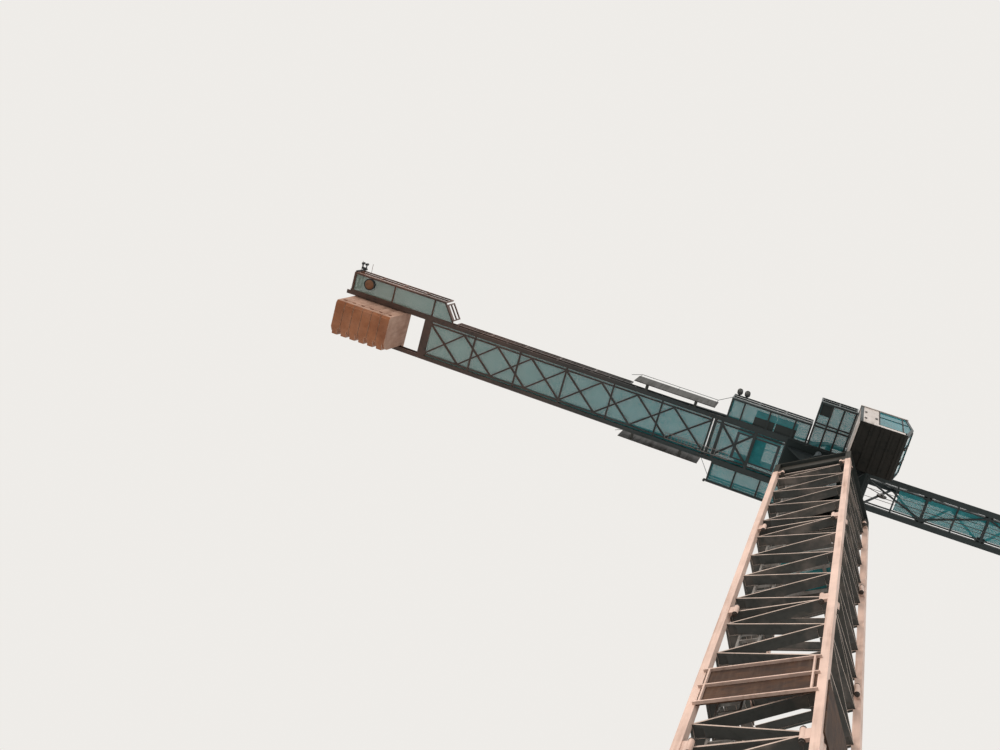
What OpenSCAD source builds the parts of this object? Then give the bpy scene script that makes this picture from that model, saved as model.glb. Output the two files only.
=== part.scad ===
// Flat-top tower crane on a free-standing lattice mast, as a 1:2 scale model in millimetres.
// The jib points along +X, the ground is at z = 0 and the slewing axis is the Z axis.

/* [Mast] */
// Number of stacked mast sections
sections = 6; // [3:1:7]
// Height of one mast section, joint to joint
section_h = 2500; // [2200:50:2800]
// Distance between the centres of two mast legs
mast_w = 920; // [880:10:960]
// Width of a square mast leg
leg = 66; // [56:2:76]
// Zigzag bays in one mast section
bays = 4; // [3:1:5]
// Width of a mast bracing bar
brace = 16; // [12:1:24]
// Depth of a mast bracing bar, across the face
brace_t = 20; // [14:1:22]
// Depth of the inner flange of a mast bracing bar
flange = 76; // [40:1:84]
// Thickness of that flange
flange_t = 6; // [5:1:10]
// Turn of the mast under the jib
mast_turn = -31.6; // [-45:0.1:45]
// Thickness of the foot plates and the ties between them
base_t = 20; // [12:1:40]
// Width of a foot plate
base_w = 340; // [320:5:380]
// Bolt circle radius of a foot plate
base_pcr = 170; // [160:1:180]
// Radius of a foot bolt hole
base_hole_r = 14; // [8:1:16]

/* [Slewing] */
// Height of the square adapter on the last section
adapter_h = 400; // [320:10:440]
// Height of the round drum on the adapter
drum_h = 170; // [120:10:240]
// Outer radius of the slewing ring
ring_r = 430; // [400:5:450]
// Inner radius of the slewing ring
ring_bore = 340; // [300:5:360]
// Height of each half of the slewing ring
ring_h = 50; // [30:5:80]
// Running gap between the two halves of the ring
ring_gap = 0.5; // [0.3:0.1:0.9]
// Height of the turntable, from the slewing ring to the underside of the deck
table_h = 630; // [560:10:680]
// Height of the head frame above the deck girders
head_h = 540; // [480:10:580]

/* [Deck and counter-jib] */
// Overall width of the deck and counter-jib
deck_w = 680; // [640:10:720]
// Height of the longitudinal girders
girder_h = 130; // [110:5:160]
// Flange width of the longitudinal girders
girder_w = 60; // [52:2:66]
// Distance from the slewing axis to the pins between deck and counter-jib
rear_pin_x = 1700; // [1660:10:1800]
// Distance from the slewing axis to the end of the counter-jib
counter_r = 7740; // [7700:10:8000]
// Number of crossed bays in the counter-jib floor
cross_bays = 8; // [6:1:10]
// Length of the open ballast bay behind the crossed floor
bay_l = 1480; // [1300:10:1600]
// Depth of floor frames
floor_t = 28; // [20:1:34]
// Height of the handrails
rail_h = 310; // [280:5:360]
// Size of the handrail tube
rail = 20; // [16:1:24]

/* [Ballast] */
// Number of concrete slabs
slabs = 6; // [4:1:6]
// Thickness of one slab
slab_t = 146; // [130:2:148]
// Gap between two slabs
slab_gap = 8; // [5:1:10]
// How far the slabs hang below the counter-jib
slab_drop = 600; // [500:10:700]

/* [Jib] */
// Number of jib bays
jib_bays = 24; // [12:3:27]
// Length of one jib bay
jib_bay = 820; // [780:5:860]
// Distance from the slewing axis to the jib foot
jib_foot_x = 540; // [520:5:560]
// Overall width of the jib across its bottom chords
jib_w = 540; // [500:10:570]
// Height of the jib over its chords
jib_h = 620; // [580:10:680]
// Size of the square bottom chords
jib_chord = 56; // [50:1:64]
// Size of the square top chord
jib_top = 76; // [64:1:84]
// Upward slope of the jib in degrees
jib_rise = 3; // [0:0.5:4]
// Distance of the trolley from the jib foot
trolley_x = 11200; // [8000:100:14000]
// Distance from the trolley to the hook block
hook_drop = 3000; // [1500:100:5000]

/* [Cab] */
// Length of the cab floor
cab_l = 590; // [540:10:640]
// Width of the cab
cab_w = 640; // [600:10:690]
// Height of the cab
cab_h = 1060; // [1000:10:1100]
// Thickness of the cab floor and roof
cab_shell = 30; // [20:2:40]
// How far the front glass leans out at half height
cab_nose = 110; // [70:5:130]

/* [Hidden] */

trim = 1;
top_z = sections * section_h;
bay_h = section_h / bays;
half_w = mast_w / 2;
leg_in = half_w - leg / 2;
leg_out = half_w + leg / 2;
lace_y = leg_in + brace_t / 2;
sleeve_r = 22;
sleeve_h = 80;
sleeve_off = 90;
adapter_z = top_z + adapter_h;
ring_seat = 0.1;
ring_z = adapter_z + drum_h + ring_seat;
upper_z = ring_z + ring_h + ring_gap;
table_z = upper_z + ring_h;
deck_z = table_z + table_h;
deck_top = deck_z + girder_h;
girder_y = deck_w / 2 - girder_w / 2;
girder_in = deck_w / 2 - girder_w;
inner_y = girder_in - 36;
floor_r = counter_r - bay_l;
front_x = jib_foot_x - 40;
head_top = deck_top + head_h;
head_x = 280;
cab_x = 150;

// One flat bar between two points of a frame, its ends cut upright
module bar(x0, y0, x1, y1, w) {
    a = (y1 - y0) / (x1 - x0);
    h = (w / 2 - trim) * sqrt(1 + a * a);
    polygon([[x0 + trim, y0 + a * trim - h], [x1 - trim, y1 - a * trim - h],
             [x1 - trim, y1 - a * trim + h], [x0 + trim, y0 + a * trim + h]]);
}

// One upright member of a frame
module post(x, y0, y1, w) {
    translate([x - w / 2 + trim, y0 + trim]) square([w - 2 * trim, y1 - y0 - 2 * trim]);
}

// A flat frame of bars fused where they cross
module frame(t) {
    linear_extrude(t) offset(delta = trim) children();
}

// The same frame stood upright, its drawing plane along X and Z
module wall(t) {
    translate([0, t / 2, 0]) rotate([90, 0, 0]) frame(t) children();
}

module block(x0, x1, y0, y1, z0, z1) {
    translate([x0, y0, z0]) cube([x1 - x0, y1 - y0, z1 - z0]);
}

module on_mast() {
    rotate([0, 0, mast_turn]) children();
}

// Mast foot
module foot_cross() color("dimgray") on_mast() difference() {
    union() {
        for (sx = [-1, 1], sy = [-1, 1])
            translate([sx * half_w, sy * half_w, base_t / 2]) cube([base_w, base_w, base_t], center = true);
        for (a = [0, 90])
            rotate([0, 0, 45 + a]) translate([0, 0, base_t / 2]) cube([mast_w * 1.42, 160, base_t], center = true);
    }
    for (sx = [-1, 1], sy = [-1, 1], a = [45:90:315])
        translate([sx * half_w, sy * half_w, 0]) rotate([0, 0, a])
            translate([base_pcr, 0, -5]) cylinder(r = base_hole_r, h = base_t + 10, $fn = 32);
}

// Mast legs with the bolt sleeves of the section joints
module sleeve(z0, z1) {
    translate([sleeve_off, 0, z0]) cylinder(r = sleeve_r, h = z1 - z0, $fn = 32);
    block(leg / 2 - 1, sleeve_off, -14, 14, z0 + 12, z1 - 12);
}
module mast_leg(k) color("gainsboro") on_mast() rotate([0, 0, 90 * k]) translate([-half_w, half_w, 0]) {
    block(-leg / 2, leg / 2, -leg / 2, leg / 2, base_t, top_z);
    for (j = [0:sections]) {
        low = max(base_t, j * section_h - sleeve_h);
        high = min(top_z, j * section_h + sleeve_h);
        translate([0, leg / 2 - sleeve_r, 0]) sleeve(low, high);
        rotate([0, 0, -90]) translate([0, -leg / 2 + sleeve_r, 0]) sleeve(low, high);
    }
}

// One bracing rod, drawn between the legs and cut off at a distance c from the middle
module rod(za, zb, c, w) {
    m = (za + zb) / 2;
    h = (zb - za) / 2 * c / leg_in;
    bar(-c, m - h, c, m + h, w);
}

// Zigzag of one flat side, with a strut at every section joint
module lacing(k, c, w) {
    lift = 84;
    for (n = [0:sections * bays - 1]) {
        z0 = n * bay_h + lift;
        z1 = min(z0 + bay_h, top_z - 40);
        zm = z0 + bay_h / 2;
        rod(k % 2 == 0 ? zm : z0, k % 2 == 0 ? z0 : zm, c, w);
        rod(k % 2 == 0 ? zm : z1, k % 2 == 0 ? z1 : zm, c, w);
    }
    for (j = [0:sections - 1]) rod(j * section_h + 48, j * section_h + 48, c, w + 4);
    rod(top_z - 40, top_z - 40, c, w + 4);
}
// The bars of a side are angles, their flanges turned inwards and coped at the legs
module mast_side(k) color("silver") on_mast() rotate([0, 0, 90 * k]) translate([0, -lace_y, 0]) {
    wall(brace_t) lacing(k, leg_in, brace);
    translate([0, brace_t / 2 + flange / 2 - 1, 0]) wall(flange + 2) lacing(k, leg_in - flange - 3, flange_t);
}

// Climbing ladder and landings inside the mast
ladder_w = 200;
ladder_x = -leg_in + flange + ladder_w / 2 + 8;
flange_in = -leg_in + flange;
module mast_ladder() color("silver") on_mast() translate([0, flange_in + 12, 0]) wall(24) {
    for (s = [-1, 1]) post(ladder_x + s * (ladder_w / 2 - 10), base_t, top_z + 260, 20);
    for (n = [1:floor((top_z + 200) / 150)])
        bar(ladder_x - ladder_w / 2 + 6, n * 150, ladder_x + ladder_w / 2 - 6, n * 150, 14);
}
module mast_landings() color("slategray") on_mast() for (j = [1:2:sections - 1])
    translate([0, 0, j * section_h + 36]) frame(24) {
        for (y = [-100, 70, 240, -flange_in - 18]) bar(flange_in, y, -flange_in, y, 36);
        for (x = [flange_in + 18, -140, 140, -flange_in - 18]) post(x, -118, -flange_in, 36);
    }

// Timber board in its frame on one side of the mast
board_z = 3 * section_h + 600;
board_h = 575;
module face_board() color("saddlebrown") on_mast() {
    block(-leg_in + 4, leg_in - 4, -leg_out, -leg_out + 12, board_z + 6, board_z + board_h - 6);
    block(leg_out, leg_out + 12, -half_w, 60, board_z - 560, board_z + 240);
}
module face_board_frame() color("gainsboro") on_mast() translate([0, -leg_out - 12, 0]) wall(24) {
    for (z = [board_z + 7, board_z + board_h / 2, board_z + board_h - 7]) bar(-leg_in - 18, z, leg_in + 18, z, 14);
    for (s = [-1, 1]) post(s * (leg_in - 30), board_z, board_z + board_h, 14);
}

// Square adapter with the round drum of the slewing ring
module mast_adapter() color("gainsboro") on_mast() difference() {
    union() {
        for (k = [0:3]) rotate([0, 0, 90 * k]) {
            translate([-half_w, half_w, 0]) {
                block(-leg / 2, leg / 2, -leg / 2, leg / 2, top_z, adapter_z);
                translate([0, leg / 2 - sleeve_r, 0]) sleeve(top_z, top_z + sleeve_h);
                rotate([0, 0, -90]) translate([0, -leg / 2 + sleeve_r, 0]) sleeve(top_z, top_z + sleeve_h);
            }
            block(-leg_in - 2, leg_in + 2, lace_y - 10, lace_y + 10, adapter_z - 210, adapter_z - 2);
        }
        block(-leg_out, leg_out, -leg_out, leg_out, adapter_z - 24, adapter_z);
        translate([0, 0, adapter_z - 4]) cylinder(r = ring_r, h = drum_h + 4, $fn = 96);
    }
    translate([0, 0, adapter_z - 60]) cylinder(r = ring_bore, h = drum_h + 120, $fn = 96);
}

// Slewing ring in two halves
module ring_half(z) translate([0, 0, z]) difference() {
    cylinder(r = ring_r, h = ring_h, $fn = 96);
    translate([0, 0, -5]) cylinder(r = ring_bore, h = ring_h + 10, $fn = 96);
}
module slewing_ring_lower() color("dimgray") ring_half(ring_z);
module slewing_ring_upper() color("dimgray") ring_half(upper_z);

// Turntable box between ring and deck
module turntable() color("dimgray") difference() {
    union() {
        translate([0, 0, table_z]) cylinder(r = ring_r + 20, h = 30, $fn = 96);
        for (s = [-1, 1]) translate([0, s * 236 + 12, 0]) rotate([90, 0, 0]) linear_extrude(24)
            polygon([[-330, table_z + 28], [330, table_z + 28], [front_x - 20, deck_z - 22], [-620, deck_z - 22]]);
        for (x = [-300, 276]) block(x, x + 24, -230, 230, table_z + 28, deck_z - 22);
        block(-640, front_x, -deck_w / 2, deck_w / 2, deck_z - 24, deck_z);
    }
    translate([0, 0, table_z - 5]) cylinder(r = 190, h = table_h + 10, $fn = 64);
}
module slewing_motors() color("slategray") for (x = [-190, 190]) translate([x, -330, table_z + 30]) {
    cylinder(r = 60, h = 150, $fn = 32);
    translate([0, 0, 148]) cylinder(r = 46, h = 190, $fn = 32);
}

// Deck girders and floor frame
module girder(x0, x1, s) translate([x0, s * girder_y, deck_z]) rotate([90, 0, 90]) linear_extrude(x1 - x0)
    polygon([[-girder_w / 2, 0], [girder_w / 2, 0], [girder_w / 2, 14], [7, 14],
             [7, girder_h - 14], [girder_w / 2, girder_h - 14], [girder_w / 2, girder_h],
             [-girder_w / 2, girder_h], [-girder_w / 2, girder_h - 14], [-7, girder_h - 14],
             [-7, 14], [-girder_w / 2, 14]]);
module deck_girders() color("slategray") for (s = [-1, 1]) girder(-rear_pin_x, front_x, s);
module deck_floor() color("slategray") translate([0, 0, deck_z]) frame(floor_t) {
    for (x = [-rear_pin_x + 30, -rear_pin_x + 130, -1080, -640, -200, 200, front_x - 30])
        post(x, -girder_in, girder_in, 44);
    bar(-rear_pin_x + 130, -inner_y + 8, -1080, inner_y - 8, 30);
    bar(-rear_pin_x + 130, inner_y - 8, -1080, -inner_y + 8, 30);
    for (s = [-1, 1]) bar(-rear_pin_x + 10, s * inner_y, front_x - 10, s * inner_y, 20);
}

// Head frame that carries the jib foot and the ties
module head_frame() color("slategray") {
    for (s = [-1, 1]) translate([0, s * (girder_y + 4) + 16, 0]) rotate([90, 0, 0]) linear_extrude(32) difference() {
        polygon([[-460, deck_top], [front_x, deck_top], [front_x, deck_top + 90],
                 [head_x + 20, head_top], [-120, head_top]]);
        polygon([[-300, deck_top + 50], [front_x - 90, deck_top + 50], [head_x - 40, head_top - 150],
                 [-90, head_top - 150]]);
    }
    for (x = [-110, head_x - 70]) block(x, x + 70, -girder_y, girder_y, head_top - 130, head_top - 50);
    block(front_x - 40, front_x + 1, -girder_y, girder_y, deck_top + 4, deck_top + 80);
    block(front_x, jib_foot_x - jib_chord * sin(jib_rise), -deck_w / 2, deck_w / 2, deck_z + 4, deck_top + 60);
}

// Balconies beside the deck and behind the cab
rear_x0 = -1550;
rear_x1 = -390;
side_x0 = rear_x1 + 10;
side_x1 = cab_x - 20;
side_y = deck_w / 2;
module balcony_frames() color("slategray") {
    for (s = [-1, 1]) translate([0, 0, deck_z]) frame(floor_t) {
        for (y = [side_y + 14, side_y + 300]) bar(rear_x0, s * y, rear_x1, s * y, 28);
        for (x = s > 0 ? [14, 373, 735, rear_x1 - rear_x0 - 14] : [14, 198, 571, 933, rear_x1 - rear_x0 - 14])
            post(rear_x0 + x, s > 0 ? side_y : -side_y - 314, s > 0 ? side_y + 314 : -side_y, 24);
    }
    translate([0, 0, deck_z]) frame(floor_t) {
        for (y = [-14, -306, -352, -650]) bar(side_x0, -side_y + y, side_x1, -side_y + y, y == -650 ? 28 : 20);
        for (k = [0:3]) post(side_x0 + 14 + k * (side_x1 - side_x0 - 28) / 3, -side_y - 664, -side_y, 24);
    }
}

// One run of handrail: posts, top rail, knee rail and toe board
module rail_run(x0, x1, gaps, h = rail_h) wall(rail) {
    for (z = [h - rail / 2, h / 2 + 15]) bar(x0, z, x1, z, rail);
    for (k = [0:gaps]) post(x0 + rail / 2 + k * (x1 - x0 - rail) / gaps, 0, h, rail);
    bar(x0, 32, x1, 32, 50);
}
rail_z = deck_z + floor_t;
module balcony_rails() color("silver") {
    for (s = [-1, 1]) translate([0, s * (side_y + 300), rail_z]) rail_run(rear_x0, rear_x1, 3);
    for (s = [-1, 1]) translate([rear_x0 + 14, s * (side_y + 160), rail_z]) rotate([0, 0, 90]) rail_run(-125, 125, 1);
    translate([0, -side_y - 650, rail_z]) rail_run(side_x0, side_x1, 2);
    translate([side_x0 + 14, -side_y - 484, rail_z]) rotate([0, 0, 90]) rail_run(-150, 150, 1);
}
module control_cabinets() color("dimgray") {
    for (k = [0:1]) block(rear_x0 + 380 + k * 310, rear_x0 + 670 + k * 310, -side_y - 150, -side_y - 20,
        rail_z, rail_z + 400);
    block(side_x0 + 30, side_x0 + 190, -side_y - 630, -side_y - 470, rail_z, rail_z + 260);
}
// Lamp heads on the balcony rail, a corner lamp, and the round lamp of the end platform
module floodlights() color("dimgray") {
    for (x = [60, 170]) translate([rear_x0 + x, -side_y - 300, rail_z + rail_h]) {
        block(-8, 8, -46, 10, 0, 16);
        translate([0, -50, 4]) rotate([-35, 0, 0]) translate([0, 0, -50]) cylinder(r = 36, h = 62, $fn = 32);
    }
    translate([rear_x0 - 18, side_y + 290, deck_z - 60]) cylinder(r = 18, h = 60, $fn = 32);
    block(rear_x0 - 26, rear_x0, side_y + 282, side_y + 298, deck_z - 12, deck_z + 20);
    translate([far_x + 344, -side_y - 185, deck_z - 30]) cylinder(r = 84, h = 60, $fn = 48);
    block(far_x + 330, far_x + 358, -side_y - 276, -side_y - 180, deck_z + 8, deck_z + 28);
}

// Cab hung beside the deck
cab_y = -440;
cab_z = deck_z - 820;
cab_in = cab_y - cab_w;
module cab_hangers() color("slategray") for (x = [cab_x + 40, front_x - 64])
    block(x, x + 56, cab_y, -side_y, deck_z, deck_z + 110);
module cab_floor() color("dimgray") {
    translate([cab_x, cab_y, cab_z]) rotate([90, 0, 0]) linear_extrude(cab_w)
        polygon([[0, 0], [cab_l, 0], [cab_l + 30, cab_shell], [0, cab_shell]]);
    for (k = [0:4]) block(cab_x + 20 + k * (cab_l - 70) / 4, cab_x + 50 + k * (cab_l - 70) / 4,
        cab_in + 20, cab_y - 20, cab_z - 18, cab_z + 2);
}
module cab_roof() color("gainsboro")
    block(cab_x - 10, cab_x + cab_l + 50, cab_in - 10, cab_y, cab_z + cab_h - cab_shell, cab_z + cab_h);
post_w = 34;
door_x = cab_l * 0.42;
sill_h = 130;
lean_x = (cab_nose - 30) * sill_h / (cab_h * 0.45 - cab_shell) - 6;
cab_in_z = cab_z + cab_shell;
cab_top_z = cab_z + cab_h - cab_shell;
module cab_posts() color("gainsboro") {
    for (y = [cab_in, cab_y - post_w]) {
        block(cab_x, cab_x + post_w, y, y + post_w, cab_in_z, cab_top_z);
        translate([cab_x, y + post_w, cab_z]) rotate([90, 0, 0]) linear_extrude(post_w)
            polygon([[cab_l - 4, cab_shell], [cab_l + 30, cab_shell], [cab_l + cab_nose, cab_h * 0.45],
                     [cab_l + 46, cab_h - cab_shell], [cab_l + 12, cab_h - cab_shell], [cab_l + cab_nose - 34, cab_h * 0.45]]);
    }
}
module cab_panels() color("gainsboro") {
    block(cab_x + 4, cab_x + 20, cab_in + post_w, cab_y - post_w, cab_in_z, cab_top_z);
    block(cab_x + post_w, cab_x + cab_l - 4, cab_y - 18, cab_y, cab_in_z, cab_top_z);
    block(cab_x + post_w, cab_x + door_x, cab_in + 4, cab_in + 20, cab_in_z, cab_top_z);
    block(cab_x + door_x, cab_x + cab_l - 4, cab_in + 4, cab_in + 20, cab_in_z, cab_in_z + sill_h);
}
module cab_glass() color("teal", 0.5) {
    translate([cab_x, cab_y - post_w, cab_z]) rotate([90, 0, 0]) linear_extrude(cab_w - 2 * post_w)
        polygon([[cab_l + 16, cab_shell], [cab_l + 26, cab_shell], [cab_l + cab_nose - 4, cab_h * 0.45],
                 [cab_l + 42, cab_h - cab_shell], [cab_l + 32, cab_h - cab_shell], [cab_l + cab_nose - 14, cab_h * 0.45]]);
    translate([cab_x, cab_in + 16, cab_z]) rotate([90, 0, 0]) linear_extrude(8)
        polygon([[door_x, cab_shell + sill_h], [cab_l + lean_x, cab_shell + sill_h], [cab_l + cab_nose - 36, cab_h * 0.45],
                 [cab_l + 10, cab_h - cab_shell], [door_x, cab_h - cab_shell]]);
}

// Counter-jib
module counter_girders() color("slategray") for (s = [-1, 1]) girder(-counter_r, -rear_pin_x, s);
module counter_floor() color("slategray") translate([0, 0, deck_z]) frame(floor_t) {
    pitch = (floor_r - rear_pin_x - 60) / cross_bays;
    for (n = [0:cross_bays - 1]) {
        x0 = -floor_r + 30 + n * pitch;
        bar(x0 - 2, -inner_y + 8, x0 + pitch + 2, inner_y - 8, 24);
        bar(x0 - 2, inner_y - 8, x0 + pitch + 2, -inner_y + 8, 24);
    }
    for (n = [0:6]) post(-floor_r + 22 + n * (floor_r - rear_pin_x - 44) / 6, -girder_in, girder_in, 24);
    for (s = [-1, 1]) bar(-floor_r - 60, s * inner_y, -rear_pin_x - 4, s * inner_y, 20);
    post(-floor_r - 40, -girder_in, girder_in, 100);
}
tie_x = 3700;
module counter_ties() color("slategray") for (s = [-1, 1]) translate([0, s * (girder_y - 24) + 8, 0]) rotate([90, 0, 0])
    linear_extrude(16) polygon([[-tie_x, deck_top], [-tie_x + 140, deck_top], [-110, head_top - 120],
                                [-110, head_top - 74], [-tie_x, deck_top + 30]]);
module counter_rails() color("silver") {
    low = rail_h - 90;
    translate([0, -girder_y - 12, deck_top]) rail_run(-floor_r + 380, -3020, 5, low);
    translate([0, girder_y + 12, deck_top]) rail_run(-floor_r, -3020, 5, low);
    translate([0, girder_y + 12, deck_top]) rail_run(-2990, -rear_pin_x + 60, 2, low);
}
module side_boards() color("dimgray") for (s = [-1, 1]) {
    block(-2960, -1740, s * 436 - 6, s * 436 + 6, deck_z - 20, deck_z + 370);
    for (x = [-2780, -2040]) block(x, x + 40, s > 0 ? side_y : -431, s > 0 ? 431 : -side_y, deck_z, deck_z + 40);
}

// Walkway beside the ballast, its front corner cut off
far_x = -counter_r + 16;
walk_l = bay_l + 344;
walk_x = far_x + walk_l;
bend_x = far_x + 0.9 * walk_l;
module end_platform() color("slategray") translate([0, 0, deck_z]) frame(floor_t) {
    bar(far_x + 46, -side_y - 10, walk_x, -side_y - 10, 20);
    bar(far_x + 46, -side_y - 290, bend_x + 8, -side_y - 290, 28);
    post(far_x + 60, -side_y - 304, -side_y, 28);
    bar(bend_x - 14, -side_y - 290, walk_x, -side_y - 30, 24);
    for (k = [0.42, 0.8]) post(far_x + k * walk_l, -side_y - 304, -side_y, 16);
}
module end_platform_rails() color("silver") {
    translate([0, -side_y - 290, rail_z]) rail_run(far_x + 46, bend_x - 6, 4);
    translate([far_x + 60, -side_y - 148, rail_z]) rotate([0, 0, 90]) rail_run(-126, 126, 1);
    translate([(bend_x + walk_x) / 2, -side_y - 150, rail_z]) rotate([0, 0, atan2(250, walk_x - bend_x)])
        rail_run(-136, 136, 1);
}
module wind_gauge() color("dimgray") translate([far_x + 60, -side_y - 314, rail_z]) {
    cylinder(r = 14, h = rail_h + 60, $fn = 24);
    block(-40, 40, -44, -12, rail_h - 70, rail_h - 30);
    for (x = [-32, 32]) translate([x, -42, rail_h - 50]) rotate([90, 0, 0]) cylinder(r = 9, h = 60, $fn = 24);
    for (x = [-32, 32]) translate([x, -100, rail_h - 78]) cylinder(r = 20, h = 56, $fn = 32);
}

// Ballast slabs hung between the girders by their shoulders
slab_x = -counter_r + 145;
slab_half = girder_in - 10;
module slab_outline(corner) polygon([
    [-slab_half, deck_z - slab_drop + 30], [-slab_half + 40, deck_z - slab_drop],
    [slab_half - 120 + corner, deck_z - slab_drop], [slab_half - 40 + corner, deck_z - slab_drop + 60 - corner],
    [slab_half, deck_z - slab_drop + 170], [slab_half, deck_top], [side_y - 4, deck_top],
    [side_y - 4, deck_top + 80], [side_y - 30, deck_top + 100], [-side_y + 30, deck_top + 100],
    [-side_y + 4, deck_top + 80], [-side_y + 4, deck_top], [-slab_half, deck_top]]);
module ballast_slabs() color("darkgray") for (k = [0:slabs - 1]) translate([slab_x + k * (slab_t + slab_gap), 0, 0])
    difference() {
        rotate([90, 0, 90]) {
            linear_extrude(slab_t) slab_outline(0);
            translate([0, 0, slab_t * 0.2]) linear_extrude(slab_t * 0.6) slab_outline(34);
        }
        translate([slab_t / 2, -slab_half + 70, deck_z - slab_drop + 150])
            rotate([90, 0, 0]) cylinder(r = 34, h = 90, $fn = 32);
    }

// Hoist winch on the deck
module winch_frame() color("dimgray") {
    for (s = [-1, 1]) block(-1330, -700, s * 190 - 12, s * 190 + 12, deck_z + floor_t, deck_z + 330);
    block(-1330, -1290, -180, 180, deck_z + floor_t, deck_z + 90);
    block(-740, -700, -180, 180, deck_z + floor_t, deck_z + 90);
    translate([-1180, 198, deck_z + 210]) rotate([-90, 0, 0]) cylinder(r = 90, h = 70, $fn = 48);
}
module winch_drum() color("slategray") translate([-1000, 177.5, deck_z + 210]) rotate([90, 0, 0]) {
    cylinder(r = 90, h = 355, $fn = 64);
    cylinder(r = 130, h = 16, $fn = 64);
    translate([0, 0, 339]) cylinder(r = 130, h = 16, $fn = 64);
}

// Jib, drawn level from its foot and then sloped
module on_jib() {
    translate([jib_foot_x, 0, deck_z + 10]) rotate([0, -jib_rise, 0]) children();
}
jib_len = jib_bays * jib_bay;
ledge = 22;
chord_out = jib_w / 2 - ledge;
chord_y = chord_out - jib_chord / 2;
chord_in = chord_out - jib_chord;
jib_brace = 26;
side_foot = [chord_y, jib_chord - 14];
side_head = [8, jib_h - jib_top + 14];
side_run = norm(side_head - side_foot);
side_tilt = atan2(side_foot.x - side_head.x, side_head.y - side_foot.y);
module jib_bottom_chords() color("slategray") on_jib() for (s = [-1, 1]) {
    block(0, jib_len, s * chord_y - jib_chord / 2, s * chord_y + jib_chord / 2, 0, jib_chord);
    block(0, jib_len, s > 0 ? chord_out - 1 : -jib_w / 2, s > 0 ? jib_w / 2 : 1 - chord_out, 0, 8);
}
module jib_top_chord() color("slategray") on_jib() {
    block(0, jib_len, -jib_top / 2, jib_top / 2, jib_h - jib_top, jib_h);
    block(-(jib_foot_x - head_x - (jib_h - 6) * sin(jib_rise)) / cos(jib_rise), 60, -14, 14,
        jib_h - jib_top + 6, jib_h - 6);
}
// Inclined bracing of one side, cut flush with the chords it runs between
module jib_side(s) color("slategray") on_jib() difference() {
    translate([0, s * side_foot.x, side_foot.y]) rotate([s * side_tilt, 0, 0]) wall(22) {
        pitch = (jib_len - 46) / jib_bays;
        for (n = [0:jib_bays - 1]) {
            bar(28 + n * pitch, 0, 32 + (n + 0.5) * pitch, side_run, jib_brace);
            bar(28 + (n + 0.5) * pitch, side_run, 32 + (n + 1) * pitch, 0, jib_brace);
        }
        for (n = [0:3:jib_bays]) post(30 + n * pitch, 0, side_run, jib_brace);
    }
    block(-50, jib_len + 60, s * chord_y - jib_chord / 2, s * chord_y + jib_chord / 2, -30, jib_chord);
    block(-50, jib_len + 60, -jib_top / 2, jib_top / 2, jib_h - jib_top, jib_h + 40);
}
module jib_side_left() jib_side(1);
module jib_side_right() jib_side(-1);
module jib_floor() color("slategray") on_jib() translate([0, 0, 8]) frame(26) {
    pitch = (jib_len - 36) / jib_bays;
    for (n = [0:jib_bays]) post(18 + n * pitch, -chord_in, chord_in, 34);
    for (n = [0:jib_bays - 1]) {
        s = n % 2 == 0 ? 1 : -1;
        bar(18 + n * pitch, -s * (chord_in - 36), 18 + (n + 1) * pitch, s * (chord_in - 36), 22);
        post(18 + (n + 0.5) * pitch, -chord_in, chord_in, 20);
    }
    for (s = [-1, 1]) bar(4, s * (chord_in - 30), jib_len - 4, s * (chord_in - 30), 16);
}
module jib_tip() color("slategray") on_jib() {
    block(jib_len, jib_len + 30, -jib_w / 2, jib_w / 2, 0, 70);
    block(jib_len, jib_len + 30, -30, 30, 60, jib_h);
    for (s = [-1, 1]) block(jib_len + 20, jib_len + 210, s * 40 - 8, s * 40 + 8, 0, 70);
    translate([jib_len + 150, 31.8, 36]) rotate([90, 0, 0]) cylinder(r = 90, h = 63.6, $fn = 48);
}

// Trolley under the jib and the hook block on its ropes
wheel_r = 26;
module trolley() color("slategray") on_jib() translate([trolley_x, 0, 0]) {
    for (s = [-1, 1]) block(-330, 330, s * (jib_w / 2 + 12) - 8, s * (jib_w / 2 + 12) + 8, -90, 70);
    for (x = [-330, 290]) block(x, x + 40, -jib_w / 2 - 12, jib_w / 2 + 12, -90, -40);
    for (s = [-1, 1]) block(-300, 300, s * 90 - 12, s * 90 + 12, -90, -42);
    for (x = [-150, 110]) translate([x + 20, 95, -66]) rotate([90, 0, 0]) cylinder(r = 22, h = 190, $fn = 32);
}
module trolley_wheels() color("dimgray") on_jib() for (x = [-240, 240], s = [-1, 1])
    translate([trolley_x + x, s > 0 ? jib_w / 2 + 4 : -chord_out - 2, wheel_r + 8.3]) rotate([90, 0, 0])
        cylinder(r = wheel_r, h = ledge + 2, $fn = 48);
hook_x = jib_foot_x + trolley_x * cos(jib_rise) + 66 * sin(jib_rise);
fall_x = 130 * cos(jib_rise);
hook_z = deck_z + 10 + trolley_x * sin(jib_rise) - hook_drop;
module hoist_ropes() color("dimgray") for (s = [-1, 1], y = [-14, 14])
    translate([hook_x + s * fall_x, y, hook_z + 48.3])
        cylinder(r = 6, h = hook_drop - 70.6 + s * 130 * sin(jib_rise) - 66 * cos(jib_rise), $fn = 24);
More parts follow.
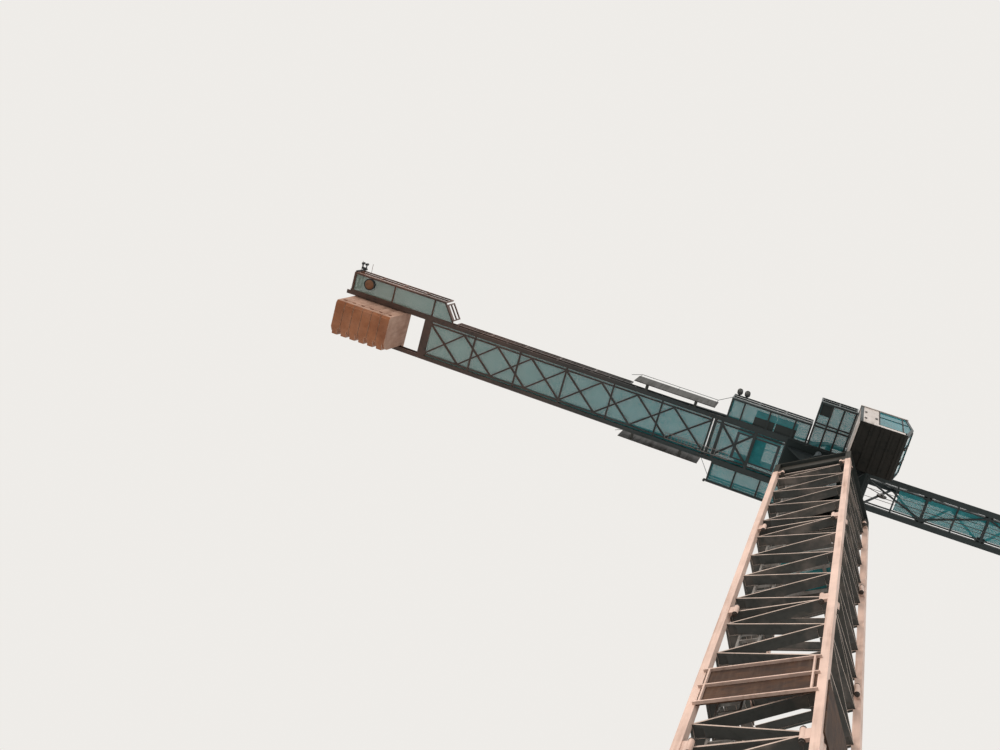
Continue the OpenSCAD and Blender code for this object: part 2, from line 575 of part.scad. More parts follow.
module hook_block() color("goldenrod") translate([hook_x, 0, hook_z]) {
    for (s = [-1, 1]) translate([0, s * 34 + 6, 0]) rotate([90, 0, 0]) linear_extrude(12)
        polygon([[-190, 10], [190, 10], [190, -60], [60, -200], [-60, -200], [-190, -60]]);
    for (s = [-1, 1]) translate([s * fall_x, 29, -40]) rotate([90, 0, 0]) cylinder(r = 88, h = 58, $fn = 64);
    block(-50, 50, -30, 30, -200, -130);
    translate([0, 0, -300]) cylinder(r = 22, h = 110, $fn = 32);
    translate([28, 0, -372]) rotate([90, 0, 0]) rotate([0, 0, -160]) rotate_extrude(angle = 270, $fn = 64)
        translate([74, 0]) circle(r = 22, $fn = 32);
}

foot_cross();
mast_leg(0);  // mast_leg_1
mast_leg(1);  // mast_leg_2
mast_leg(2);  // mast_leg_3
mast_leg(3);  // mast_leg_4
mast_side(0);  // mast_side_1
mast_side(1);  // mast_side_2
mast_side(2);  // mast_side_3
mast_side(3);  // mast_side_4
mast_ladder();
mast_landings();
face_board();
face_board_frame();
mast_adapter();
slewing_ring_lower();
slewing_ring_upper();
turntable();
head_frame();
slewing_motors();
deck_girders();
deck_floor();
balcony_frames();
balcony_rails();
control_cabinets();
floodlights();
cab_hangers();
cab_floor();
cab_roof();
cab_posts();
cab_panels();
cab_glass();
counter_girders();
counter_floor();
counter_ties();
counter_rails();
side_boards();
end_platform();
end_platform_rails();
ballast_slabs();
winch_frame();
winch_drum();
wind_gauge();
jib_bottom_chords();
jib_top_chord();
jib_side_left();
jib_side_right();
jib_floor();
jib_tip();
trolley();
trolley_wheels();
hoist_ropes();
hook_block();
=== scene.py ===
import math
import bpy
import bmesh
from mathutils import Matrix, Vector


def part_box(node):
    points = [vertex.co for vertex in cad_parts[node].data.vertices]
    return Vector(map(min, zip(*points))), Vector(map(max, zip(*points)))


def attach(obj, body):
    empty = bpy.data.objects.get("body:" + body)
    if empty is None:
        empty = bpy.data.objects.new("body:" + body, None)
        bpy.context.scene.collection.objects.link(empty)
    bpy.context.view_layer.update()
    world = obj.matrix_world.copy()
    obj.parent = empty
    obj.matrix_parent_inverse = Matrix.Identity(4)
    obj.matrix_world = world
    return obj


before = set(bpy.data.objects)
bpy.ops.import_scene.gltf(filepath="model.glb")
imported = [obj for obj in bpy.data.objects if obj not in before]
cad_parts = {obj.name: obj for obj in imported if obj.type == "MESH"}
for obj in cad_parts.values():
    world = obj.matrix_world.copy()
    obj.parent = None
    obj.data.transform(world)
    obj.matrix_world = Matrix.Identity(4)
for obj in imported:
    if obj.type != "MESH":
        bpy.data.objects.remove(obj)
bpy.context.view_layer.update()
scene = bpy.context.scene
scene.view_settings.view_transform = "Standard"

# Sizes of the mast that the dressing repeats, in metres
MAST_TURN = math.radians(-31.6)
MAST_HALF = 0.46
LEG = 0.066
LEG_IN = 0.427
FLANGE_IN = 0.351
SECTION = 2.5
SECTIONS = 6
BAYS = 4
LACE_LIFT = 0.084
JOINT_LACE_LIFT = 0.048
SLEEVE_OFF = 0.09
SLEEVE_R = 0.022
SLEEVE_H = 0.08
FOOT_PLATE = 0.02
ANCHOR_CIRCLE = 0.17
LANDINGS = (1, 3, 5)
LANDING_SIDE = 0.118
LANDING_LIFT = 0.0615

# Sizes of the deck, its balconies and the counter-jib
GIRDER = 0.06
FLOOR = 0.028
FLOOR_HALF = 0.28
FLOOR_LIFT = 0.0305
END_BEAM = 0.1
BALCONY_X = (-1.55, -0.39)
BALCONY_OUT = 0.314
CAB_BALCONY_X = (-0.38, 0.13)
CAB_BALCONY_OUT = 0.664
PLATFORM_OUT = 0.304
PLATFORM_SLANT = 0.1
RAIL_HEIGHT = 0.31
RING_BOLTS = 48
RING_BOLT_CIRCLE = 0.434
TURNTABLE_FLANGE = 0.03
SLABS = 6
SLAB_GAP = 0.008
CABINET_TOP = 0.428

# Sizes of the jib
JIB_RISE = math.radians(3)
JIB_FOOT = 0.54
JIB_LENGTH = 19.68
JIB_BAYS = 24
JIB_HEIGHT = 0.62
JIB_MESH_HALF = 0.15
JIB_MESH_START = 0.46
JIB_MESH_LIFT = 0.0365
SPLICE_EVERY = 3
CHORD = 0.056
CHORD_OUT = 0.248
TROLLEY_X = 11.2

# The view: a place in metres, and points of the photo in its pixels
VIEW_PLACE = (-0.6, -3.975, 0.75)
VIEW_SENSOR = 32.0
FOCAL_PIXELS = 1094.0
PHOTO_WIDTH_PIXELS = 1000.0
PHOTO_CENTRE_PIXELS = (500.0, 375.0)
MAST_VANISHES_PIXELS = (879.0, 188.0)
JIB_TILT_SEEN = math.radians(18.84)

# Where the painted warm light of the far end begins and where it is full, along X
FAR_LIGHT_SPAN = (-2.4, -7.2)
# Colour of painted shade on faces that look down, and colour of dust lying on top
UNDERSIDE_SHADE_COLOUR = (0.022, 0.031, 0.031)
DUST = (0.33, 0.29, 0.25)

FLOAT = "NodeSocketFloat"
VECTOR = "NodeSocketVector"
GEOMETRY = "NodeSocketGeometry"
UPPER = "upperworks"
UP = (0, 0, 1)
DOWN = (0, 0, -1)

# Places read from the crane's own boxes
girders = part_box("deck_girders")
deck_z = girders[0].z
deck_top = girders[1].z
side_y = girders[1].y
cab_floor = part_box("cab_floor")
cab_x0 = cab_floor[0].x
cab_x1 = cab_floor[1].x - 0.03
cab_y0 = cab_floor[0].y
cab_y1 = cab_floor[1].y
cab_middle = (cab_y0 + cab_y1) / 2
cab_low = cab_floor[0].z + 0.018
cab_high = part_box("cab_roof")[1].z
cab_bend = cab_low + (cab_high - cab_low) * 0.45
cab_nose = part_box("cab_glass")[1].x
cab_side = cab_y0 + 0.004
cab_door = cab_x0 + (cab_x1 - cab_x0) * 0.42

# The frames of the mast and the jib, and the turn that lays a wheel's axis across the crane
on_mast = Matrix.Rotation(MAST_TURN, 4, "Z")
on_jib = Matrix.Translation((JIB_FOOT, 0, deck_z + 0.01)) @ Matrix.Rotation(-JIB_RISE, 4, "Y")
lying = Matrix.Rotation(math.radians(90), 4, "X")


def set_view():
    """The camera, low beside the mast and looking steeply up at the slewing deck."""
    x, y = [spot - centre for spot, centre in zip(MAST_VANISHES_PIXELS, PHOTO_CENTRE_PIXELS)]
    up = Vector((x, y, FOCAL_PIXELS)).normalized()
    across = Vector((0.0, 1.0, 0.0)).cross(up).normalized()
    along = up.cross(across)
    jib_way = across * math.cos(JIB_TILT_SEEN) + along * math.sin(JIB_TILT_SEEN)
    side_way = along * math.cos(JIB_TILT_SEEN) - across * math.sin(JIB_TILT_SEEN)
    right = Vector((jib_way.x, side_way.x, up.x))
    down = Vector((jib_way.y, side_way.y, up.y))
    ahead = Vector((jib_way.z, side_way.z, up.z))
    data = bpy.data.cameras.new("view")
    data.sensor_width = VIEW_SENSOR
    data.lens = VIEW_SENSOR * FOCAL_PIXELS / PHOTO_WIDTH_PIXELS
    data.clip_end = 400.0
    view = bpy.data.objects.new("view", data)
    turn = Matrix((right, -down, -ahead)).transposed()
    view.matrix_world = Matrix.Translation(VIEW_PLACE) @ turn.to_4x4()
    scene.collection.objects.link(view)
    scene.camera = view


# Node trees
def node(tree, kind, values=(), **settings):
    """Adds one node. A value is a socket to join or a number to set."""
    made = tree.nodes.new(kind)
    for key, value in settings.items():
        setattr(made, key, value)
    for key, value in dict(values).items():
        if isinstance(value, bpy.types.NodeSocket):
            tree.links.new(value, made.inputs[key])
        else:
            made.inputs[key].default_value = value
    return made


def new_group(name, inputs, results=()):
    """A group of shader nodes that gives the named results, or, with none named, one that grows geometry."""
    tree = bpy.data.node_groups.new(name, "ShaderNodeTree" if results else "GeometryNodeTree")
    if not results:
        inputs = [*inputs, ("Finish", "NodeSocketMaterial", None)]
        tree.interface.new_socket("Geometry", in_out="OUTPUT", socket_type=GEOMETRY)
    for label, socket, value in inputs:
        made = tree.interface.new_socket(label, in_out="INPUT", socket_type=socket)
        if value is not None:
            made.default_value = value
    for label in results:
        tree.interface.new_socket(label, in_out="OUTPUT", socket_type=FLOAT)
    return tree, tree.nodes.new("NodeGroupInput").outputs, tree.nodes.new("NodeGroupOutput").inputs


def spaced(values):
    """The values by socket name, which has a space where the keyword has an underscore."""
    return {key.replace("_", " "): value for key, value in values.items()}


def give(tree, sockets, **values):
    """Joins each value to the socket of its name."""
    for name, value in spaced(values).items():
        tree.links.new(value, sockets[name])


def maths(tree, operation, a, b=0.0):
    return node(tree, "ShaderNodeMath", {0: a, 1: b}, operation=operation).outputs[0]


def times(tree, a, b):
    return maths(tree, "MULTIPLY", a, b)


def fade(tree, value, low, high, start=0.0, end=1.0):
    """The value stretched from low..high to start..end, and kept between them."""
    values = {"Value": value, "From Min": low, "From Max": high, "To Min": start, "To Max": end}
    return node(tree, "ShaderNodeMapRange", values).outputs["Result"]


def here(tree):
    """The place on the object, in the crane's own frame."""
    return node(tree, "ShaderNodeTexCoord").outputs["Object"]


def part_of(tree, vector, axis):
    return node(tree, "ShaderNodeSeparateXYZ", {0: vector}).outputs[axis]


def combined(tree, parts):
    """A vector from the parts that are given by axis."""
    return node(tree, "ShaderNodeCombineXYZ", parts).outputs[0]


def stretched(tree, place, by):
    return node(tree, "ShaderNodeVectorMath", {0: place, 1: by}, operation="MULTIPLY").outputs[0]


def noise(tree, place, scale, detail=3.0, rough=0.55):
    values = {"Vector": place, "Scale": scale, "Detail": detail, "Roughness": rough}
    return node(tree, "ShaderNodeTexNoise", values).outputs["Fac"]


def cells(tree, place, scale):
    return node(tree, "ShaderNodeTexVoronoi", {"Vector": place, "Scale": scale}).outputs


def tint(tree, factor, a, b):
    """Colour a where factor is 0 and colour b where it is 1."""
    a, b = [(*colour, 1.0) if isinstance(colour, tuple) else colour for colour in (a, b)]
    return node(tree, "ShaderNodeMix", {0: factor, 6: a, 7: b}, data_type="RGBA").outputs[2]


# Effects shared by the finishes
def make_weather_and_shade():
    """Rain streaks running down, clouds of fading, dust lying on top, and painted shade on faces that look
    down.
    """
    tree, given, out = new_group("weather_and_shade", [("Streak Width", FLOAT, 0.03), ("Patch Size", FLOAT, 0.5)],
                                 ["Streaks", "Patches", "Dust", "Underside"])
    place = here(tree)
    run_down = stretched(tree, place, (1.0, 1.0, 0.05))
    fine = noise(tree, run_down, maths(tree, "DIVIDE", 0.6, given["Streak Width"]), 4.0, 0.6)
    broad = noise(tree, place, maths(tree, "DIVIDE", 1.0, given["Patch Size"]), 4.0, 0.6)
    grit = noise(tree, place, 60.0, 3.0, 0.7)
    upward = part_of(tree, node(tree, "ShaderNodeNewGeometry").outputs["Normal"], "Z")
    # The underside mask is painted shade: it darkens faces that look down, in broad patches
    give(tree, out, Streaks=times(tree, fade(tree, fine, 0.47, 0.72), fade(tree, broad, 0.35, 0.6)),
         Patches=fade(tree, broad, 0.38, 0.66),
         Dust=times(tree, fade(tree, upward, 0.35, 0.95), fade(tree, grit, 0.3, 0.7)),
         Underside=times(tree, fade(tree, upward, -0.25, -0.8), fade(tree, broad, 0.2, 0.5, 0.7, 1.0)))
    return tree


def make_edge_wear():
    """Edges rubbed bare, broken up so that they don't read as an outline."""
    tree, given, out = new_group("edge_wear", [("Width", FLOAT, 0.003), ("Break Up", FLOAT, 30.0)],
                                 ["Edges", "Chips"])
    place = here(tree)
    rounded = node(tree, "ShaderNodeBevel", {"Radius": given["Width"]}, samples=4).outputs[0]
    normal = node(tree, "ShaderNodeNewGeometry").outputs["Normal"]
    facing = node(tree, "ShaderNodeVectorMath", {0: rounded, 1: normal}, operation="DOT_PRODUCT")
    same = facing.outputs["Value"]
    gaps = noise(tree, place, given["Break Up"], 5.0, 0.7)
    spots = noise(tree, place, times(tree, given["Break Up"], 0.7), 6.0, 0.72)
    give(tree, out, Edges=times(tree, fade(tree, same, 0.985, 0.86), fade(tree, gaps, 0.42, 0.62)),
         Chips=fade(tree, spots, 0.69, 0.73))
    return tree


def make_paint_skin():
    """The small dimples and the slow waviness of brushed site paint."""
    tree, given, out = new_group("paint_skin", [("Dimple", FLOAT, 0.004)], ["Height"])
    place = here(tree)
    dimples = noise(tree, place, maths(tree, "DIVIDE", 1.0, given["Dimple"]), 2.0, 0.5)
    waves = noise(tree, place, 14.0, 2.0, 0.4)
    give(tree, out, Height=maths(tree, "ADD", dimples, times(tree, waves, 2.0)))
    return tree


def make_plywood():
    """Grain, blotches and worn smears of a plywood sheet, its grain along the local X axis."""
    tree, given, out = new_group("plywood", [("Place", VECTOR, None)], ["Grain", "Stains", "Height"])
    place = given["Place"]
    fibres = noise(tree, stretched(tree, place, (1.6, 18.0, 18.0)), 3.0, 8.0, 0.7)
    values = {"Vector": stretched(tree, place, (0.7, 1.0, 5.0)), "Scale": 2.2, "Distortion": 9.0,
              "Detail": 3.0, "Detail Scale": 1.4}
    rings = node(tree, "ShaderNodeTexWave", values, bands_direction="Z").outputs["Fac"]
    grain = times(tree, fibres, fade(tree, rings, 0.0, 1.0, 0.8, 1.05))
    blotches = noise(tree, place, 3.4, 6.0, 0.7)
    smears = noise(tree, stretched(tree, place, (1.0, 2.4, 2.4)), 4.4, 7.0, 0.75)
    give(tree, out, Height=grain, Stains=fade(tree, smears, 0.47, 0.6),
         Grain=times(tree, fade(tree, grain, 0.2, 0.75, 0.35, 1.0), fade(tree, blotches, 0.3, 0.62)))
    return tree


def make_cast_face():
    """Air holes, sand grain and clouds of cast concrete."""
    tree, given, out = new_group("cast_face", [("Pore Size", FLOAT, 0.012)], ["Pores", "Clouds", "Height"])
    place = here(tree)
    holes = cells(tree, place, maths(tree, "DIVIDE", 0.4, given["Pore Size"]))
    pores = fade(tree, holes["Distance"], 0.16, 0.08)
    sand = noise(tree, place, 260.0, 3.0, 0.6)
    clouds = noise(tree, place, 3.2, 6.0, 0.62)
    give(tree, out, Pores=pores, Clouds=fade(tree, clouds, 0.35, 0.65),
         Height=maths(tree, "SUBTRACT", times(tree, sand, 0.5), pores))
    return tree


weather_and_shade = make_weather_and_shade()
edge_wear = make_edge_wear()
paint_skin = make_paint_skin()
plywood = make_plywood()
cast_face = make_cast_face()


# Finishes
def new_finish(name, **settings):
    mat = bpy.data.materials.new(name)
    mat.use_nodes = True
    shader = mat.node_tree.nodes["Principled BSDF"]
    for key, value in spaced(settings).items():
        shader.inputs[key].default_value = value
    return mat, mat.node_tree, shader.inputs


def placed(tree, group, **values):
    """The outputs of a shared effect, with some of its inputs set."""
    return node(tree, "ShaderNodeGroup", spaced(values), node_tree=group).outputs


def scaled(colour, by):
    return tuple(c * by for c in colour)


def painted_far_light(tree, near, far):
    """Painted light: the near colour at the deck, passing to a warm far one out at the ballast that stands in
    for the light there.
    """
    return tint(tree, fade(tree, part_of(tree, here(tree), "X"), *FAR_LIGHT_SPAN), near, far)


def raised(tree, height, strength, depth):
    values = {"Height": height, "Strength": strength, "Distance": depth}
    return node(tree, "ShaderNodeBump", values).outputs[0]


def paint(name, colour, grime, bare=(0.21, 0.15, 0.11), rough=0.5, dirt=0.6, wear=0.5, shine=0.3, underside_shade=0.3,
          far=None):
    """Site paint with rain streaks, faded clouds, dust, rubbed edges and painted shade underneath. Far is its
    painted warm light at the ballast.
    """
    mat, tree, shader = new_finish(name, IOR=1.5, Specular_IOR_Level=shine)
    rain = placed(tree, weather_and_shade)
    rub = placed(tree, edge_wear)
    faded = tint(tree, rain["Patches"], colour, scaled(colour, 0.8))
    if far:
        # Painted light: a warm tint that grows toward the ballast end
        faded = painted_far_light(tree, faded, tint(tree, rain["Patches"], far, scaled(far, 0.7)))
    streaked = tint(tree, times(tree, rain["Streaks"], dirt), faded, grime)
    # Painted shade: faces that look down are darkened by the amount given for undersides
    shaded_underside = tint(tree, times(tree, rain["Underside"], underside_shade), streaked, UNDERSIDE_SHADE_COLOUR)
    dusty = tint(tree, times(tree, rain["Dust"], 0.35), shaded_underside, DUST)
    loss = times(tree, maths(tree, "MAXIMUM", rub["Edges"], rub["Chips"]), wear)
    dull = maths(tree, "MAXIMUM", rain["Streaks"], rub["Edges"])
    give(tree, shader, Base_Color=tint(tree, loss, dusty, bare),
         Roughness=fade(tree, dull, 0.0, 1.0, rough, min(rough + 0.3, 0.95)),
         Normal=raised(tree, placed(tree, paint_skin)["Height"], 0.25, 0.0012))
    return mat


def steel(name, colour, stain, rough=0.4, metal=0.9, far=None):
    """Bare or galvanised steel with stains, flecks of zinc and rubbed edges."""
    mat, tree, shader = new_finish(name, Metallic=metal)
    rain = placed(tree, weather_and_shade, Patch_Size=0.12)
    rub = placed(tree, edge_wear, Width=0.002, Break_Up=60.0)
    flecks = node(tree, "ShaderNodeSeparateColor", {0: cells(tree, here(tree), 90.0)["Color"]}).outputs[0]
    base = tint(tree, times(tree, flecks, 0.5), colour, scaled(colour, 0.62))
    stained = tint(tree, times(tree, rain["Patches"], 0.6), base, stain)
    rubbed = tint(tree, times(tree, rub["Edges"], 0.5), stained, scaled(colour, 1.5))
    # Painted light: a tint that grows toward the ballast end
    if far:
        rubbed = painted_far_light(tree, rubbed, far)
    give(tree, shader, Base_Color=rubbed, Roughness=fade(tree, rain["Patches"], 0.0, 1.0, rough, rough + 0.3),
         Normal=raised(tree, flecks, 0.1, 0.0006))
    return mat


def board_finish(name, turn):
    """Weathered brown plywood, its grain turned to lie along the board."""
    mat, tree, shader = new_finish(name, Roughness=0.75, Specular_IOR_Level=0.25)
    dark_grain, pale_grain = (0.03, 0.015, 0.009), (0.115, 0.056, 0.03)
    stain, washed_out, bare = (0.03, 0.018, 0.014), (0.15, 0.1, 0.07), (0.36, 0.25, 0.16)
    along = node(tree, "ShaderNodeMapping", {"Vector": here(tree), "Rotation": (0, 0, turn)}).outputs[0]
    wood = placed(tree, plywood, Place=along)
    rain = placed(tree, weather_and_shade, Streak_Width=0.02)
    rub = placed(tree, edge_wear, Width=0.004, Break_Up=25.0)
    grain = tint(tree, wood["Grain"], dark_grain, pale_grain)
    stained = tint(tree, times(tree, wood["Stains"], 0.8), grain, stain)
    washed = tint(tree, times(tree, rain["Streaks"], 0.35), stained, washed_out)
    give(tree, shader, Base_Color=tint(tree, times(tree, rub["Edges"], 0.6), washed, bare),
         Normal=raised(tree, wood["Height"], 0.35, 0.002))
    return mat


def slab_finish():
    """Cast concrete under brown dust, with painted light and shade: paler lit upright sides, darker shaded
    undersides.
    """
    mat, tree, shader = new_finish("cast_concrete", Roughness=0.9, Specular_IOR_Level=0.2)
    lit_side_pale, lit_side_dark = (0.5, 0.33, 0.255), (0.34, 0.2, 0.145)
    shaded_below_pale, shaded_below_dark = (0.33, 0.13, 0.06), (0.22, 0.08, 0.036)
    streak, hole, chipped = (0.13, 0.06, 0.036), (0.08, 0.042, 0.03), (0.6, 0.4, 0.29)
    cast = placed(tree, cast_face)
    rain = placed(tree, weather_and_shade, Streak_Width=0.05, Patch_Size=0.8)
    rub = placed(tree, edge_wear, Width=0.008, Break_Up=18.0)
    # Painted light and shade: lit colours on upright sides, shaded colours on faces that look down
    side = tint(tree, cast["Clouds"], lit_side_pale, lit_side_dark)
    shaded_below = tint(tree, cast["Clouds"], shaded_below_pale, shaded_below_dark)
    body = tint(tree, rain["Underside"], side, shaded_below)
    wet = tint(tree, times(tree, rain["Streaks"], 0.55), body, streak)
    pored = tint(tree, cast["Pores"], wet, hole)
    give(tree, shader, Base_Color=tint(tree, rub["Edges"], pored, chipped),
         Normal=raised(tree, cast["Height"], 0.7, 0.003))
    return mat


def glass_finish():
    """Blue-green tinted safety glass, a little dusty."""
    mat, tree, shader = new_finish("tinted_glass", IOR=1.12, Transmission_Weight=0.3, Specular_IOR_Level=0.22)
    pale, deep, film = (0.005, 0.23, 0.275), (0.004, 0.155, 0.195), (0.1, 0.27, 0.28)
    rain = placed(tree, weather_and_shade, Streak_Width=0.02, Patch_Size=0.3)
    clean = tint(tree, rain["Patches"], pale, deep)
    give(tree, shader, Base_Color=tint(tree, times(tree, rain["Streaks"], 0.3), clean, film),
         Roughness=fade(tree, rain["Streaks"], 0.0, 1.0, 0.12, 0.35))
    return mat


def rope_finish():
    """Laid strands of a greased wire rope, slanting across the piece by colour and bump."""
    mat, tree, shader = new_finish("wire_rope", Metallic=0.8)
    furrow, strand, grease = (0.03, 0.03, 0.03), (0.16, 0.155, 0.15), (0.035, 0.028, 0.022)
    place = here(tree)
    lay = node(tree, "ShaderNodeTexWave", {"Vector": place, "Scale": 38.0, "Distortion": 0.5},
               bands_direction="DIAGONAL").outputs["Fac"]
    greased = fade(tree, noise(tree, place, 30.0), 0.4, 0.65)
    give(tree, shader, Base_Color=tint(tree, greased, tint(tree, lay, furrow, strand), grease),
         Roughness=fade(tree, greased, 0.0, 1.0, 0.45, 0.3), Normal=raised(tree, lay, 0.6, 0.001))
    return mat


def lens_finish():
    """A dark pressed lens with small prisms."""
    mat, tree, shader = new_finish("lamp_lens", Roughness=0.12, IOR=1.5)
    prisms = cells(tree, here(tree), 110.0)["Distance"]
    give(tree, shader, Base_Color=tint(tree, prisms, (0.1, 0.1, 0.095), (0.04, 0.042, 0.042)),
         Normal=raised(tree, prisms, 0.5, 0.001))
    return mat


# In the paints, the amount given for undersides is painted shade on faces that look down
finish = {
    "mast": paint("mast_paint", (0.78, 0.575, 0.485), (0.33, 0.2, 0.145), (0.23, 0.11, 0.06),
        dirt=0.7, wear=0.8),
    "lacing": paint("lacing_paint", (0.62, 0.5, 0.43), (0.2, 0.15, 0.12), (0.2, 0.1, 0.06),
        rough=0.55, dirt=0.5, wear=0.6, underside_shade=0.95),
    "adapter": paint("adapter_paint", (0.027, 0.025, 0.019), (0.012, 0.011, 0.009), (0.11, 0.08, 0.055),
        rough=0.6, dirt=0.7, wear=0.4, underside_shade=0.8),
    # far is painted warm light at the ballast end, here and in the rail and mesh finishes
    "deck": paint("deck_paint", (0.026, 0.04, 0.044), (0.014, 0.013, 0.012), (0.14, 0.09, 0.065),
        dirt=0.7, underside_shade=0.6, far=(0.2, 0.08, 0.046)),
    "turntable": paint("turntable_paint", (0.016, 0.022, 0.024), (0.009, 0.009, 0.009), (0.1, 0.07, 0.05),
        rough=0.7, dirt=0.7, wear=0.4, shine=0.12, underside_shade=0.9),
    "rail": paint("rail_paint", (0.03, 0.045, 0.048), (0.016, 0.014, 0.013), (0.16, 0.11, 0.085),
        rough=0.45, wear=0.6, far=(0.2, 0.09, 0.058)),
    "ladder": steel("ladder_zinc", (0.33, 0.33, 0.32), (0.14, 0.11, 0.09), rough=0.5, metal=0.6),
    "mesh": steel("mesh_zinc", (0.03, 0.32, 0.36), (0.02, 0.24, 0.275), rough=0.6, metal=0.1,
        far=(0.3, 0.42, 0.37)),
    "ring": steel("ring_steel", (0.2, 0.19, 0.18), (0.05, 0.04, 0.03), rough=0.35),
    "bolt": steel("bolt_steel", (0.09, 0.085, 0.08), (0.06, 0.035, 0.022), metal=0.8),
    "motor": paint("motor_paint", (0.05, 0.066, 0.075), (0.02, 0.018, 0.016), rough=0.42),
    "cabinet": paint("cabinet_paint", (0.022, 0.027, 0.028), (0.012, 0.011, 0.01), (0.1, 0.075, 0.055),
        wear=0.4, underside_shade=0.8),
    "lamp": paint("lamp_black", (0.02, 0.021, 0.022), (0.03, 0.027, 0.024), rough=0.45, dirt=0.5, wear=0.3),
    "cab_under": paint("cab_under", (0.024, 0.019, 0.0155), (0.006, 0.0055, 0.005), (0.06, 0.045, 0.035),
        rough=0.65, dirt=0.9, wear=0.4, shine=0.12),
    "cab": paint("cab_paint", (0.54, 0.49, 0.46), (0.2, 0.17, 0.14), (0.12, 0.1, 0.09), rough=0.4, dirt=0.5),
    "trim": paint("rubber_trim", (0.012, 0.013, 0.013), (0.03, 0.027, 0.023), rough=0.7, dirt=0.5, wear=0.2),
    "seat": paint("seat_cover", (0.035, 0.04, 0.05), (0.02, 0.02, 0.02), rough=0.8, dirt=0.3, wear=0.3),
    "sheet": paint("dark_sheet", (0.036, 0.036, 0.032), (0.016, 0.014, 0.012), rough=0.55, dirt=0.8,
        wear=0.6),
    "hook": paint("hook_paint", (0.5, 0.3, 0.04), (0.14, 0.08, 0.03), rough=0.45, wear=0.9),
    "board": board_finish("plywood_board", -MAST_TURN),
    "slab": slab_finish(),
    "glass": glass_finish(),
    "rope": rope_finish(),
    "disc": paint("disc_paint", (0.27, 0.115, 0.05), (0.1, 0.045, 0.025), rough=0.6, wear=0.6),
    "lens": lens_finish()}


def dress_frame():
    """Gives every solid of the crane its finish."""
    dressed = {
        "mast": "foot_cross mast_leg_1 mast_leg_2 mast_leg_3 mast_leg_4 face_board_frame",
        "lacing": "mast_side_1 mast_side_2 mast_side_3 mast_side_4",
        "ladder": "mast_ladder mast_landings",
        "board": "face_board",
        "adapter": "mast_adapter",
        "ring": "slewing_ring_lower slewing_ring_upper winch_drum trolley_wheels",
        "turntable": "turntable",
        "deck": "head_frame deck_girders deck_floor balcony_frames cab_hangers cab_posts counter_girders "
                "counter_floor counter_ties end_platform jib_bottom_chords jib_top_chord jib_side_left "
                "jib_side_right jib_floor jib_tip",
        "motor": "slewing_motors winch_frame trolley",
        "rail": "balcony_rails counter_rails end_platform_rails",
        "cabinet": "control_cabinets",
        "lamp": "floodlights wind_gauge",
        "cab_under": "cab_floor",
        "cab": "cab_roof cab_panels",
        "glass": "cab_glass",
        "sheet": "side_boards",
        "slab": "ballast_slabs",
        "rope": "hoist_ropes",
        "hook": "hook_block"}
    for name, nodes in dressed.items():
        for each in nodes.split():
            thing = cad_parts[each]
            if not thing.material_slots:
                thing.data.materials.append(finish[name])
            for slot in thing.material_slots:
                slot.material = finish[name]


# Repeated pieces, grown by geometry trees
def together(tree, parts):
    joined = tree.nodes.new("GeometryNodeJoinGeometry")
    for each in parts:
        tree.links.new(each, joined.inputs[0])
    return joined.outputs[0]


def close_tree(tree, grown, given, out):
    """Realizes what the tree grew and gives it its finish."""
    real = node(tree, "GeometryNodeRealizeInstances", {0: grown})
    done = node(tree, "GeometryNodeSetMaterial", {0: real.outputs[0], "Material": given["Finish"]})
    give(tree, out, Geometry=done.outputs[0])
    return tree


def on_points(tree, points, piece):
    """The piece on every point, its Z axis along the direction kept there."""
    way = node(tree, "GeometryNodeInputNamedAttribute", {"Name": "way"}, data_type="FLOAT_VECTOR").outputs[0]
    facing = node(tree, "FunctionNodeAlignRotationToVector", {"Vector": way}, axis="Z").outputs[0]
    values = {"Points": points, "Instance": piece, "Rotation": facing}
    return node(tree, "GeometryNodeInstanceOnPoints", values).outputs[0]


def make_grating():
    """Crossed strands of a floor mesh, from its low corner."""
    tree, given, out = new_group("grating", [
        ("Length", FLOAT, 1.0), ("Width", FLOAT, 0.5), ("Long Pitch", FLOAT, 0.006),
        ("Cross Pitch", FLOAT, 0.006), ("Strand", FLOAT, 0.0034), ("Depth", FLOAT, 0.0025)])
    grown = []
    for run, across, pitch, axis, side in (("Length", "Width", "Long Pitch", "X", "Y"),
                                           ("Width", "Length", "Cross Pitch", "Y", "X")):
        spare = maths(tree, "SUBTRACT", given[run], given["Strand"])
        gaps = maths(tree, "FLOOR", maths(tree, "DIVIDE", spare, given[pitch]))
        step = combined(tree, {axis: maths(tree, "DIVIDE", spare, gaps)})
        half_strand = times(tree, given["Strand"], 0.5)
        start = combined(tree, {axis: half_strand, side: times(tree, given[across], 0.5)})
        size = combined(tree, {axis: given["Strand"], side: given[across], "Z": given["Depth"]})
        values = {"Count": maths(tree, "ADD", gaps, 1.0), "Start Location": start, "Offset": step}
        line = node(tree, "GeometryNodeMeshLine", values, mode="OFFSET")
        strand = node(tree, "GeometryNodeMeshCube", {"Size": size})
        values = {"Points": line.outputs[0], "Instance": strand.outputs[0]}
        grown.append(node(tree, "GeometryNodeInstanceOnPoints", values).outputs[0])
    return close_tree(tree, together(tree, grown), given, out)


